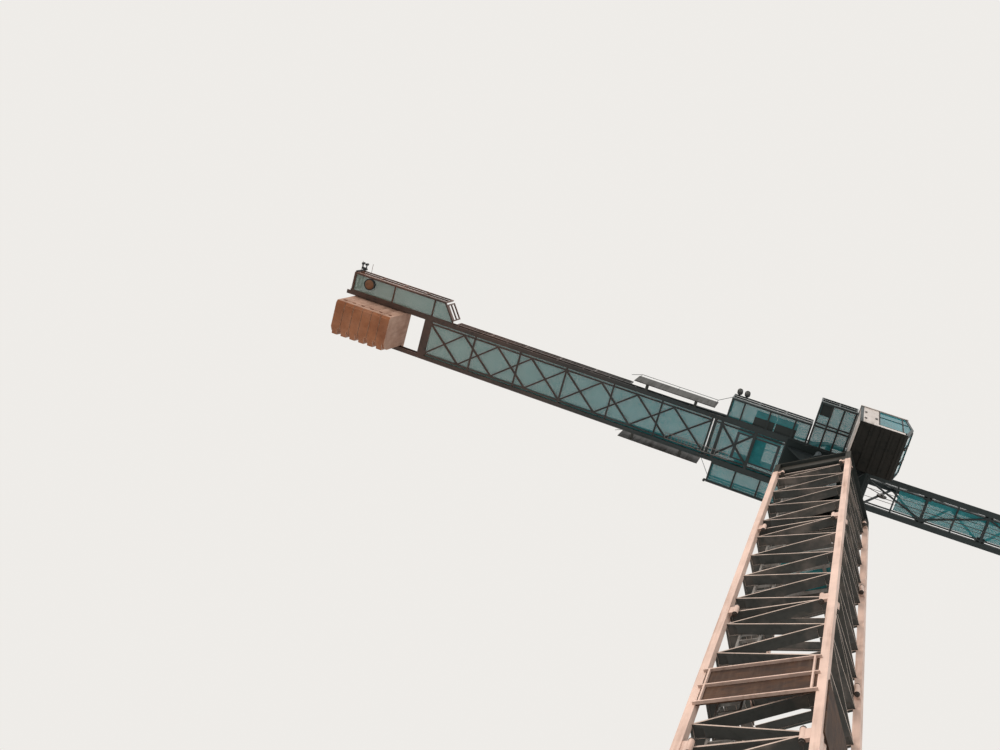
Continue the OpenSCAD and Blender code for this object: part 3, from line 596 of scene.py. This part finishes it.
def make_bolts():
    """A washer, a six-sided nut and the end of its bolt on every point."""
    tree, given, out = new_group("bolts", [
        ("Geometry", GEOMETRY, None), ("Nut Radius", FLOAT, 0.016), ("Nut Height", FLOAT, 0.014),
        ("Bolt End", FLOAT, 0.008)])
    nut_top = given["Nut Height"]
    washer_top = times(tree, nut_top, 0.25)
    bolt_top = maths(tree, "ADD", nut_top, given["Bolt End"])
    parts = []
    for sides, width, low, high in ((14, 1.3, 0.0, washer_top), (6, 1.0, washer_top, nut_top),
                                    (8, 0.55, nut_top, bolt_top)):
        height = maths(tree, "SUBTRACT", high, low)
        lift = maths(tree, "ADD", low, times(tree, height, 0.5))
        body = node(tree, "GeometryNodeMeshCylinder", {
            "Vertices": sides, "Radius": times(tree, given["Nut Radius"], width), "Depth": height})
        parts.append(node(tree, "GeometryNodeTransform", {
            "Geometry": body.outputs[0], "Translation": combined(tree, {"Z": lift})}).outputs[0])
    spread = on_points(tree, given["Geometry"], together(tree, parts))
    return close_tree(tree, spread, given, out)


def make_plates():
    """A flat plate on every point, its third size along the direction kept there."""
    tree, given, out = new_group("plates", [
        ("Geometry", GEOMETRY, None), ("Size", VECTOR, (0.1, 0.05, 0.006))])
    plate = node(tree, "GeometryNodeMeshCube", {"Size": given["Size"]})
    return close_tree(tree, on_points(tree, given["Geometry"], plate.outputs[0]), given, out)


def tube_along(tree, path, sides, radius):
    section = node(tree, "GeometryNodeCurvePrimitiveCircle", {"Resolution": sides, "Radius": radius})
    values = {"Curve": path.outputs[0], "Profile Curve": section.outputs[0], "Fill Caps": True}
    return node(tree, "GeometryNodeCurveToMesh", values).outputs[0]


def make_rope():
    """A round rope or bar along the lines that are given."""
    tree, given, out = new_group("rope", [
        ("Geometry", GEOMETRY, None), ("Radius", FLOAT, 0.006), ("Sides", "NodeSocketInt", 8)])
    path = node(tree, "GeometryNodeMeshToCurve", {"Mesh": given["Geometry"]})
    return close_tree(tree, tube_along(tree, path, given["Sides"], given["Radius"]), given, out)


def make_winding():
    """Turns of rope laid side by side round a drum, along the local Z axis."""
    tree, given, out = new_group("winding", [
        ("Radius", FLOAT, 0.096), ("Turns", FLOAT, 24.0), ("Width", FLOAT, 0.32),
        ("Rope Radius", FLOAT, 0.0062)])
    coil = node(tree, "GeometryNodeCurveSpiral", {
        "Resolution": 28, "Rotations": given["Turns"], "Start Radius": given["Radius"],
        "End Radius": given["Radius"], "Height": given["Width"]})
    return close_tree(tree, tube_along(tree, coil, 6, given["Rope Radius"]), given, out)


grating = make_grating()
bolts = make_bolts()
plates = make_plates()
rope = make_rope()
winding = make_winding()


def grow(name, tree, body, look, base=None, place=None, **values):
    """Grows a piece with a geometry tree and keeps the result as a plain mesh."""
    thing = bpy.data.objects.new(name, base or bpy.data.meshes.new(name))
    scene.collection.objects.link(thing)
    modifier = thing.modifiers.new("grow", "NODES")
    modifier.node_group = tree
    wanted = {**spaced(values), "Finish": finish[look]}
    for item in tree.interface.items_tree:
        if item.in_out == "INPUT" and item.name in wanted:
            modifier[item.identifier] = wanted[item.name]
    bpy.context.view_layer.update()
    plain = bpy.data.meshes.new_from_object(thing.evaluated_get(bpy.context.evaluated_depsgraph_get()))
    thing.modifiers.remove(modifier)
    thing.data = plain
    plain.name = name
    if not plain.materials:
        plain.materials.append(finish[look])
    if place is not None:
        plain.transform(place)
    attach(thing, body)
    return thing


def points_mesh(spots):
    """Loose points, each with the direction that its piece faces."""
    mesh = bpy.data.meshes.new("points")
    mesh.from_pydata([spot for spot, way in spots], [], [])
    kept = mesh.attributes.new("way", "FLOAT_VECTOR", "POINT")
    for at, (spot, way) in enumerate(spots):
        kept.data[at].vector = way
    return mesh


def lines_mesh(lines):
    mesh = bpy.data.meshes.new("lines")
    points = [point for line in lines for point in line]
    edges = []
    at = 0
    for line in lines:
        edges += [(at + n, at + n + 1) for n in range(len(line) - 1)]
        at += len(line)
    mesh.from_pydata(points, edges, [])
    return mesh


def bolts_at(name, spots, radius, height, end, body=UPPER, place=None):
    grow(name, bolts, body, "bolt", points_mesh(spots), place, Nut_Radius=radius, Nut_Height=height,
         Bolt_End=end)


def plates_at(name, spots, size, look="deck", body=UPPER, place=None):
    grow(name, plates, body, look, points_mesh(spots), place, Size=size)


def rope_along(name, lines, radius, look="rope", sides=8):
    grow(name, rope, UPPER, look, lines_mesh(lines), Radius=radius, Sides=sides)


# Single pieces, made in mesh code
def box(bm, low, high):
    spots = [(x, y, z) for x in (low[0], high[0]) for y in (low[1], high[1]) for z in (low[2], high[2])]
    verts = [bm.verts.new(spot) for spot in spots]
    for face in ((0, 1, 3, 2), (4, 6, 7, 5), (0, 4, 5, 1), (2, 3, 7, 6), (0, 2, 6, 4), (1, 5, 7, 3)):
        bm.faces.new([verts[n] for n in face])


def prism(bm, outline, y0, y1):
    """An outline of X and Z points drawn out along Y."""
    near = [bm.verts.new((x, y0, z)) for x, z in outline]
    far = [bm.verts.new((x, y1, z)) for x, z in outline]
    bm.faces.new(near)
    bm.faces.new(far[::-1])
    for n in range(len(outline)):
        m = (n + 1) % len(outline)
        bm.faces.new((near[m], near[n], far[n], far[m]))


def turned(bm, profile, place, steps=32):
    """A closed shape turned about Z from radius and height points, then placed."""
    rings = []
    for radius, height in profile:
        if radius == 0:
            rings.append([bm.verts.new(place @ Vector((0, 0, height)))])
            continue
        angles = [2 * math.pi * n / steps for n in range(steps)]
        rings.append([bm.verts.new(place @ Vector((radius * math.cos(a), radius * math.sin(a), height)))
                      for a in angles])
    for a, b in zip(rings, rings[1:]):
        for n in range(steps):
            m = (n + 1) % steps
            corners = [a[n % len(a)], a[m % len(a)], b[m % len(b)], b[n % len(b)]]
            bm.faces.new(list(dict.fromkeys(corners)))


def keep(name, bm, look, bevel=0.0, smooth=False, body=UPPER):
    """Turns mesh code into a piece: faces outwards, edges rounded, finished and riding."""
    bmesh.ops.recalc_face_normals(bm, faces=bm.faces)
    mesh = bpy.data.meshes.new(name)
    bm.to_mesh(mesh)
    bm.free()
    thing = bpy.data.objects.new(name, mesh)
    scene.collection.objects.link(thing)
    mesh.materials.append(finish[look])
    if smooth:
        mesh.shade_smooth()
    if bevel:
        rounding = thing.modifiers.new("rounding", "BEVEL")
        rounding.width = bevel
        rounding.segments = 2
        rounding.limit_method = "ANGLE"
    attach(thing, body)


def cut_away(thing, spot, way):
    """Cuts away what lies beyond a plane, and closes the ends that the cut leaves."""
    bm = bmesh.new()
    bm.from_mesh(thing.data)
    bmesh.ops.bisect_plane(bm, geom=bm.verts[:] + bm.edges[:] + bm.faces[:], plane_co=spot, plane_no=way,
                           clear_outer=True)
    bmesh.ops.holes_fill(bm, edges=[edge for edge in bm.edges if edge.is_boundary], sides=0)
    bmesh.ops.recalc_face_normals(bm, faces=bm.faces)
    bm.to_mesh(thing.data)
    bm.free()


def make_floors():
    """Floors of see-through mesh, the end platform's one cut along its slanted side."""
    counter, deck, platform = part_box("counter_floor"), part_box("deck_floor"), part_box("end_platform")
    gap = 0.002
    inner = side_y + gap
    for name, x0, x1, y0, y1 in (
            ("counter_mesh", counter[0].x + END_BEAM, counter[1].x, -FLOOR_HALF, FLOOR_HALF),
            ("deck_mesh", deck[0].x, deck[1].x - 0.01, -FLOOR_HALF, FLOOR_HALF),
            ("left_mesh", *BALCONY_X, inner, side_y + BALCONY_OUT),
            ("right_mesh", *BALCONY_X, -side_y - BALCONY_OUT, -inner),
            ("cab_side_mesh", *CAB_BALCONY_X, -side_y - CAB_BALCONY_OUT, -inner),
            ("end_mesh", platform[0].x + gap, platform[1].x - 2 * gap, -side_y - PLATFORM_OUT, -inner)):
        mesh = grow(name, grating, UPPER, "mesh", Length=x1 - x0, Width=y1 - y0,
                    place=Matrix.Translation((x0, y0, deck_z + FLOOR_LIFT)))
        if name == "end_mesh":
            slant_x = platform[1].x - PLATFORM_SLANT * (platform[1].x - platform[0].x + 0.046) - 0.014
            cut_away(mesh, (slant_x, -side_y - 0.29, 0), (0.26, slant_x - platform[1].x, 0))
    for j in LANDINGS:
        corner = Matrix.Translation((-FLANGE_IN, -LANDING_SIDE, j * SECTION + LANDING_LIFT))
        grow("landing_mesh_%d" % j, grating, "mast", "mesh", Length=2 * FLANGE_IN,
             Width=FLANGE_IN + LANDING_SIDE, place=on_mast @ corner)
    grow("jib_mesh", grating, UPPER, "mesh", Length=JIB_LENGTH - 0.5, Width=2 * JIB_MESH_HALF,
         place=on_jib @ Matrix.Translation((JIB_MESH_START, -JIB_MESH_HALF, JIB_MESH_LIFT)))


def make_cable_trays():
    for number, x in ((14, -2.3), (9, -1.8)):
        grow("cable_tray_%d" % number, grating, UPPER, "ladder", Length=0.46, Width=0.09,
             Long_Pitch=0.05, Cross_Pitch=0.085, Strand=0.005, Depth=0.012,
             place=Matrix.Translation((x, 0.15, deck_z - 0.012)))


def make_bolts_on_mast():
    """Nuts on the outer ends of the joint sleeves, and the four anchor bolts of each foot plate."""
    joints, anchors = [], []
    edge = LEG / 2 - SLEEVE_R
    sleeves = ((-MAST_HALF + SLEEVE_OFF, MAST_HALF + edge), (-MAST_HALF - edge, MAST_HALF - SLEEVE_OFF))
    for k in range(4):
        quarter = on_mast @ Matrix.Rotation(math.radians(90 * k), 4, "Z")
        for x, y in sleeves:
            for j in range(SECTIONS + 1):
                joints.append((quarter @ Vector((x, y, j * SECTION + SLEEVE_H)), UP))
                if j:
                    joints.append((quarter @ Vector((x, y, j * SECTION - SLEEVE_H)), DOWN))
        for n in range(4):
            angle = math.radians(45 + 90 * n)
            spot = Vector((-MAST_HALF + ANCHOR_CIRCLE * math.cos(angle),
                           MAST_HALF + ANCHOR_CIRCLE * math.sin(angle), FOOT_PLATE))
            anchors.append((quarter @ spot, UP))
    bolts_at("joint_bolts", joints, 0.019, 0.027, 0.01, "mast")
    bolts_at("anchor_bolts", anchors, 0.021, 0.022, 0.03, "mast")


def make_corner_plates():
    """Flat plates that tie the flanges of two mast sides together in the corner, at every lacing node."""
    corners = []
    middle = (FLANGE_IN + LEG_IN) / 2
    width = LEG_IN - FLANGE_IN + 0.006
    bay = SECTION / BAYS
    for sx, sy in ((1, -1), (-1, 1), (1, 1), (-1, -1)):
        rise = 0.0 if sx != sy else bay / 2
        levels = [n * bay + LACE_LIFT + rise for n in range(SECTIONS * BAYS)]
        levels += [j * SECTION + JOINT_LACE_LIFT for j in range(SECTIONS)]
        corners += [((sx * middle, sy * middle, z), UP) for z in levels]
    plates_at("corner_plates", corners, (width, width, 0.005), "lacing", "mast", on_mast)


def make_ring_bolts():
    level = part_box("slewing_ring_upper")[1].z + TURNTABLE_FLANGE
    angles = [2 * math.pi * (n + 0.5) / RING_BOLTS for n in range(RING_BOLTS)]
    circle = [((RING_BOLT_CIRCLE * math.cos(a), RING_BOLT_CIRCLE * math.sin(a), level), UP) for a in angles]
    bolts_at("ring_bolts", circle, 0.009, 0.01, 0.006)


def make_girder_joints():
    """Ribs in the counter-jib's girders, the plates and bolts of its splice, and the pins of the ties."""
    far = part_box("counter_girders")
    girder_y = side_y - GIRDER / 2
    rib_count, rib_off, rib_mid, plate = 11, 0.0185, 0.065, 0.006
    # The first rib is 1.5 m from the far end, and the last one 0.4 m before the splice
    first_rib, without_ribs = 1.5, 1.9
    run = far[1].x - far[0].x - without_ribs
    tie_pins = (far[0].x + 0.1, -3.62, -0.2)
    ribs, pins, splice, joint_plates = [], [], [], []
    for s in (-1, 1):
        for n in range(rib_count):
            x = far[0].x + first_rib + n * run / (rib_count - 1)
            ribs += [((x, s * girder_y + web * rib_off, deck_z + rib_mid), UP) for web in (-1, 1)]
        for dx in (-0.07, -0.03, 0.03, 0.07):
            splice += [((far[1].x + dx, s * girder_y + dy, deck_z - plate), DOWN) for dy in (-0.019, 0.019)]
        for x in tie_pins:
            pins.append(((x, s * (side_y - 0.023), deck_top - 0.07), (0, s, 0)))
        joint_plates.append(((far[1].x, s * girder_y, deck_z - plate / 2), UP))
    plates_at("girder_ribs", ribs, (0.006, 0.023, 0.1016))
    bolts_at("splice_bolts", splice, 0.008, 0.009, 0.005)
    plates_at("splice_plates", joint_plates, (0.2, 0.058, plate))
    bolts_at("girder_pins", pins, 0.022, 0.02, 0.01)


def make_jib_joints():
    """Splice plates with their bolts where the jib sections meet, and corner plates on its floor."""
    chord_y = CHORD_OUT - CHORD / 2
    inner_y = chord_y - CHORD / 2
    top_z = JIB_HEIGHT - 0.038
    plate = 0.006
    pitch = (JIB_LENGTH - 0.046) / JIB_BAYS
    floor_run = JIB_LENGTH - 0.036
    side, flat, top, heads, ends = [], [], [], [], []
    for n in range(SPLICE_EVERY, JIB_BAYS, SPLICE_EVERY):
        x = 0.03 + n * pitch
        for s in (-1, 1):
            side.append(((x, s * (inner_y - plate / 2), CHORD / 2 + 0.006), (0, s, 0)))
            flat.append(((x, s * chord_y, CHORD + plate / 2), UP))
            top.append(((x, s * 0.0395, top_z), (0, s, 0)))
            for dx in (-0.05, -0.02, 0.02, 0.05):
                heads.append(((x + dx, s * chord_y, CHORD + plate), UP))
                heads.append(((x + dx, s * chord_y, 0.0), DOWN))
                ends.append(((x + dx, s * 0.041, top_z), (0, s, 0)))
    corner = [((0.018 + n * floor_run / JIB_BAYS, s * (inner_y - 0.03), 0.0355), UP)
              for n in range(1, JIB_BAYS) for s in (-1, 1)]
    for name, spots, size in (("side", side, (0.15, 0.04, plate)), ("flat", flat, (0.15, 0.05, plate)),
                              ("top", top, (0.15, 0.056, 0.004)), ("corner", corner, (0.11, 0.06, 0.003))):
        plates_at("jib_%s_plates" % name, spots, size, place=on_jib)
    for name, spots in (("jib_bolts", heads), ("jib_top_bolts", ends)):
        bolts_at(name, spots, 0.008, 0.008, 0.004, place=on_jib)


def jib_line(y, x0, z0, x1, z1):
    """The two ends of a line along the jib, given in the jib's own frame."""
    return [on_jib @ Vector((x0, y, z0)), on_jib @ Vector((x1, y, z1))]


def make_ropes():
    """The winding on the drum, the guide wheels, and the ropes over the deck and under the jib."""
    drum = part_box("winch_drum")
    axle = (drum[0] + drum[1]) / 2
    winding_width = 0.316
    grow("drum_winding", winding, UPPER, "rope", Width=winding_width, Turns=25.0,
         place=Matrix.Translation((axle.x, axle.y + winding_width / 2, axle.z)) @ lying)
    head = Vector((0.12, 0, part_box("head_frame")[1].z - 0.16))
    guide = on_jib @ Vector((0.25, 0, -0.03))
    rim, groove, half = 0.07, 0.06, 0.012
    wheel = [(0.0, -half), (rim, -half), (rim, -0.008), (groove, 0.0), (rim, 0.008), (rim, half), (0.0, half)]
    bm = bmesh.new()
    for spot in (head, guide):
        turned(bm, wheel, Matrix.Translation(spot) @ lying)
        for s in (-1, 1):
            box(bm, (spot.x - 0.014, s * 0.02 - 0.004, spot.z - 0.02),
                (spot.x + 0.014, s * 0.02 + 0.004, spot.z + 0.08))
    box(bm, (guide.x - 0.02, -0.024, guide.z + 0.072), (guide.x + 0.02, 0.024, guide.z + 0.082))
    box(bm, (head.x - 0.24, -0.02, head.z + 0.07), (head.x + 0.11, 0.02, head.z + 0.085))
    keep("guide_wheels", bm, "ring", 0.001)
    rope_along("lift_rope", [
        [(axle.x - 0.02, 0.0, axle.z + 0.102), (head.x - 0.02, 0.0, head.z + 0.062)],
        [(head.x + 0.03, 0.0, head.z + 0.057), (guide.x + 0.045, 0.0, guide.z + 0.045)]], 0.0055)
    rope_along("jib_rope", [
        jib_line(0.0, 0.25, -0.092, TROLLEY_X - 0.2, -0.088),
        jib_line(0.0, TROLLEY_X + 0.13, -0.044, JIB_LENGTH + 0.15, -0.054)], 0.0055)
    chord_z, trolley_z = -0.03, -0.06
    rope_along("trolley_ropes", [
        jib_line(-0.06, 0.03, chord_z, TROLLEY_X - 0.33, trolley_z),
        jib_line(0.06, 0.03, chord_z, TROLLEY_X - 0.33, trolley_z),
        jib_line(0.06, TROLLEY_X + 0.33, trolley_z, JIB_LENGTH - 0.02, chord_z)], 0.004, sides=6)


# Cab
def make_window_trim():
    """Rubber bars up the bent front window and across it, and round the side window."""
    rim = [(cab_x1 + 0.026, cab_low + 0.03), (cab_nose + 0.002, cab_bend), (cab_x1 + 0.042, cab_high - 0.03)]
    bm = bmesh.new()
    width = cab_y1 - cab_y0
    for y in (cab_y0 + 0.04, cab_y0 + width / 3, cab_y0 + 2 * width / 3, cab_y1 - 0.04):
        prism(bm, [(x + 0.0005, z) for x, z in rim] + [(x + 0.008, z) for x, z in reversed(rim)],
              y - 0.008, y + 0.008)
    for x0, x1, z0, z1 in ((cab_nose - 0.004, cab_nose + 0.01, cab_bend - 0.012, cab_bend + 0.012),
                           (cab_x1 + 0.024, cab_x1 + 0.036, cab_low + 0.03, cab_low + 0.05),
                           (cab_x1 + 0.04, cab_x1 + 0.052, cab_high - 0.05, cab_high - 0.03)):
        box(bm, (x0, cab_y0 + 0.034, z0), (x1, cab_y1 - 0.034, z1))
    front = cab_x1 - 0.03
    for x0, x1, z0, z1 in ((cab_door - 0.008, cab_door + 0.008, cab_low + 0.16, cab_high - 0.03),
                           (front - 0.008, front + 0.008, cab_low + 0.16, cab_high - 0.03),
                           (cab_door, cab_x1 + 0.03, cab_low + 0.15, cab_low + 0.166),
                           (cab_door, cab_x1 + 0.04, cab_bend + 0.2, cab_bend + 0.212)):
        box(bm, (x0, cab_side - 0.002, z0), (x1, cab_side + 0.018, z1))
    keep("window_trim", bm, "trim", 0.002)


def make_cab_fittings():
    """Two wipers, the hinges of the door, and its handle on a plate."""
    bm = bmesh.new()
    for y in (cab_y0 + 0.2, cab_y1 - 0.24):
        arm = [(cab_x1 + 0.044, cab_low + 0.075), (cab_nose + 0.004, cab_bend - 0.06),
               (cab_nose + 0.012, cab_bend - 0.06), (cab_x1 + 0.054, cab_low + 0.075)]
        prism(bm, arm, y - 0.004, y + 0.004)
        box(bm, (cab_x1 + 0.036, y - 0.014, cab_low + 0.055), (cab_x1 + 0.056, y + 0.014, cab_low + 0.08))
    for z in (cab_low + 0.3, cab_low + 0.7):
        box(bm, (cab_x0 + 0.05, cab_side - 0.01, z - 0.03), (cab_x0 + 0.08, cab_side + 0.002, z + 0.03))
    box(bm, (cab_door - 0.06, cab_side - 0.004, cab_low + 0.42),
        (cab_door - 0.02, cab_side - 0.001, cab_low + 0.5))
    for z in (cab_low + 0.43, cab_low + 0.48):
        box(bm, (cab_door - 0.045, cab_side - 0.011, z), (cab_door - 0.035, cab_side - 0.003, z + 0.01))
    box(bm, (cab_door - 0.046, cab_side - 0.0135, cab_low + 0.425),
        (cab_door - 0.034, cab_side - 0.0095, cab_low + 0.495))
    keep("cab_fittings", bm, "bolt", 0.0015)


def make_seat():
    """Cushion, back and head rest, each an outline in X and Z with its half width."""
    x, z = cab_x0, cab_low + 0.03
    bm = bmesh.new()
    for half, outline in (
            (0.12, [(0.17, 0.21), (0.4, 0.21), (0.41, 0.24), (0.39, 0.27), (0.18, 0.26)]),
            (0.11, [(0.15, 0.25), (0.2, 0.26), (0.17, 0.58), (0.14, 0.6), (0.11, 0.57)]),
            (0.06, [(0.12, 0.61), (0.16, 0.61), (0.15, 0.7), (0.12, 0.7)])):
        prism(bm, [(x + dx, z + dz) for dx, dz in outline], cab_middle - half, cab_middle + half)
    keep("cab_seat", bm, "seat", 0.012)


def make_lever_stands():
    """The seat's foot, and a stand with a lever on each side of it."""
    x, z = cab_x0, cab_low + 0.03
    lever = [(0, 0), (0.018, 0), (0.006, 0.012), (0.006, 0.06), (0.014, 0.07), (0.014, 0.1), (0, 0.108)]
    bm = bmesh.new()
    box(bm, (x + 0.2, cab_middle - 0.07, z), (x + 0.36, cab_middle + 0.07, z + 0.21))
    for s in (-1, 1):
        y = cab_middle + s * 0.17
        box(bm, (x + 0.16, y - 0.035, z), (x + 0.42, y + 0.035, z + 0.33))
        turned(bm, lever, Matrix.Translation((x + 0.37, y, z + 0.33)), 16)
    keep("lever_stands", bm, "cabinet", 0.004)


def make_lamps():
    """Rims, cooling ribs and lenses of the two lamps, and the rim and cap of the round disc."""
    rail_top = deck_z + FLOOR + RAIL_HEIGHT
    tilt = Matrix.Rotation(math.radians(-35), 4, "X")
    rims, lenses, disc = bmesh.new(), bmesh.new(), bmesh.new()
    for x in (0.06, 0.17):
        head = Matrix.Translation((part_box("balcony_rails")[0].x + x, -side_y - 0.35, rail_top + 0.004))
        head = head @ tilt
        turned(rims, [(0.031, -0.051), (0.04, -0.051), (0.04, -0.034), (0.0362, -0.03), (0.0362, -0.044),
                      (0.031, -0.051)], head)
        for n in range(4):
            z = -0.02 + n * 0.008
            top = z + 0.003
            turned(rims, [(0.0355, z), (0.041, z), (0.041, top), (0.0355, top), (0.0355, z)], head)
        turned(lenses, [(0, -0.057), (0.017, -0.0555), (0.03, -0.0512), (0.03, -0.05), (0, -0.05)], head)
    middle = Matrix.Translation((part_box("end_platform")[0].x + 0.298, -side_y - 0.185, deck_z))
    turned(rims, [(0.076, -0.032), (0.09, -0.032), (0.09, -0.012), (0.0842, -0.008), (0.0842, -0.03),
                  (0.076, -0.032)], middle, 48)
    turned(disc, [(0, -0.042), (0.04, -0.039), (0.074, -0.0305), (0.074, -0.029), (0, -0.029)], middle, 48)
    keep("lamp_rims", rims, "lamp")
    keep("round_disc", disc, "disc", smooth=True)
    keep("lamp_lenses", lenses, "lens", smooth=True)


def make_lifting_loops():
    """Two bent bars cast into the top of every ballast slab."""
    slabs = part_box("ballast_slabs")
    pitch = (slabs[1].x - slabs[0].x + SLAB_GAP) / SLABS
    half, rise, bends = 0.035, 0.04, 8
    low = slabs[1].z - 0.03
    turns = [a * math.pi / bends for a in range(bends + 1)]
    loops = []
    for k in range(SLABS):
        x = slabs[0].x + (k + 0.5) * pitch - SLAB_GAP / 2
        for y in (-0.18, 0.18):
            arc = [(x, y + half * math.cos(a), slabs[1].z - 0.002 + rise * math.sin(a)) for a in turns]
            loops.append([(x, y + half, low), *arc, (x, y - half, low)])
    rope_along("lifting_loops", loops, 0.007, "bolt")


def make_cabinet_doors():
    """Two doors with handles on each cabinet, under a lid that stands out a little."""
    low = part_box("control_cabinets")[0].z
    top = deck_z + CABINET_TOP
    front = -side_y - 0.15
    doors, handles = bmesh.new(), bmesh.new()
    for x in (-1.17, -0.86):
        for left in (x + 0.006, x + 0.15):
            box(doors, (left, front - 0.005, low + 0.02), (left + 0.134, front + 0.001, top - 0.02))
            box(handles, (left + 0.11, front - 0.014, top - 0.2), (left + 0.12, front - 0.004, top - 0.14))
        box(doors, (x - 0.006, front - 0.01, top - 0.0005), (x + 0.296, -side_y - 0.014, top + 0.007))
    keep("cabinet_doors", doors, "cabinet", 0.0015)
    keep("cabinet_handles", handles, "bolt", 0.001)


def make_guard_wires():
    """Thin posts with a wire above the side boards, tied down at both ends."""
    start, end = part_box("side_boards")
    x0, x1 = start.x + 0.02, end.x - 0.02
    high = end.z + 0.12
    wire_z = high - 0.004
    lines = []
    for s in (-1, 1):
        y = s * (end.y + 0.003)
        lines += [[(x, y, end.z - 0.1), (x, y, high)] for x in (x0, (start.x + end.x) / 2, x1)]
        lines.append([(start.x - 0.1, y, end.z - 0.12), (x0, y, wire_z), (x1, y, wire_z)])
        lines.append([(x1, y, wire_z), (-1.54, s * (side_y + 0.29), deck_z + 0.2)])
    rope_along("guard_wires", lines, 0.004, "rail", 6)


def make_rail_rods():
    """Two thin rods beside the wind gauge, leaning out from the end platform's rail."""
    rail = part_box("end_platform_rails")
    rods = []
    for past in (-0.012, 0.17):
        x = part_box("wind_gauge")[0].x + past
        rods.append([(x, rail[0].y + 0.012, rail[1].z - 0.01), (x - 0.006, rail[0].y - 0.14, rail[1].z)])
    rope_along("rail_rods", rods, 0.0035, "rail", 6)


# Studio
def make_stage_floor():
    reach = 300.0
    mesh = bpy.data.meshes.new("floor")
    mesh.from_pydata([(-reach, -reach, 0), (reach, -reach, 0), (reach, reach, 0), (-reach, reach, 0)], [],
                     [(0, 1, 2, 3)])
    floor = bpy.data.objects.new("floor", mesh)
    scene.collection.objects.link(floor)
    mesh.materials.append(new_finish("pale_floor", Base_Color=(0.84, 0.83, 0.81, 1), Roughness=0.9)[0])


def set_surroundings():
    """A pale backdrop for the camera, glass and mirrors, and a softer warm light for everything else."""
    world = bpy.data.worlds.new("studio")
    scene.world = world
    world.use_nodes = True
    tree = world.node_tree
    light = tree.nodes["Background"]
    light.inputs["Color"].default_value = (1.0, 0.97, 0.94, 1)
    light.inputs["Strength"].default_value = 0.55
    pale = node(tree, "ShaderNodeBackground", {"Color": (0.86, 0.84, 0.81, 1), "Strength": 1.0})
    rays = node(tree, "ShaderNodeLightPath").outputs
    seen = maths(tree, "MAXIMUM", rays["Is Camera Ray"], rays["Is Transmission Ray"])
    seen = maths(tree, "MAXIMUM", seen, rays["Is Glossy Ray"])
    mix = node(tree, "ShaderNodeMixShader", {0: seen, 1: light.outputs[0], 2: pale.outputs[0]})
    give(tree, tree.nodes["World Output"].inputs, Surface=mix.outputs[0])


def set_lamps():
    """Broad soft suns: where each stands, how soft in degrees, how strong, and its colour."""
    for name, way, softness, power, colour in (
            ("key", (-26, -22, 6), 30, 1.75, (1.0, 0.87, 0.78)),
            ("fill", (18, -24, 1.5), 45, 0.65, (0.84, 0.96, 1.0)),
            ("back", (0, 30, 10), 45, 0.8, (0.95, 0.98, 1.0)),
            ("top", (-4, -6, 30), 70, 0.5, (1.0, 0.98, 0.96))):
        data = bpy.data.lights.new(name, "SUN")
        data.angle = math.radians(softness)
        data.energy = power
        data.color = colour
        lamp = bpy.data.objects.new(name, data)
        lamp.location = way
        lamp.rotation_euler = Vector(way).to_track_quat("Z", "Y").to_euler()
        scene.collection.objects.link(lamp)


set_view()
dress_frame()
make_floors()
make_cable_trays()
make_bolts_on_mast()
make_corner_plates()
make_ring_bolts()
make_girder_joints()
make_jib_joints()
make_ropes()
make_window_trim()
make_cab_fittings()
make_seat()
make_lever_stands()
make_lamps()
make_lifting_loops()
make_cabinet_doors()
make_guard_wires()
make_rail_rods()
make_stage_floor()
set_surroundings()
set_lamps()
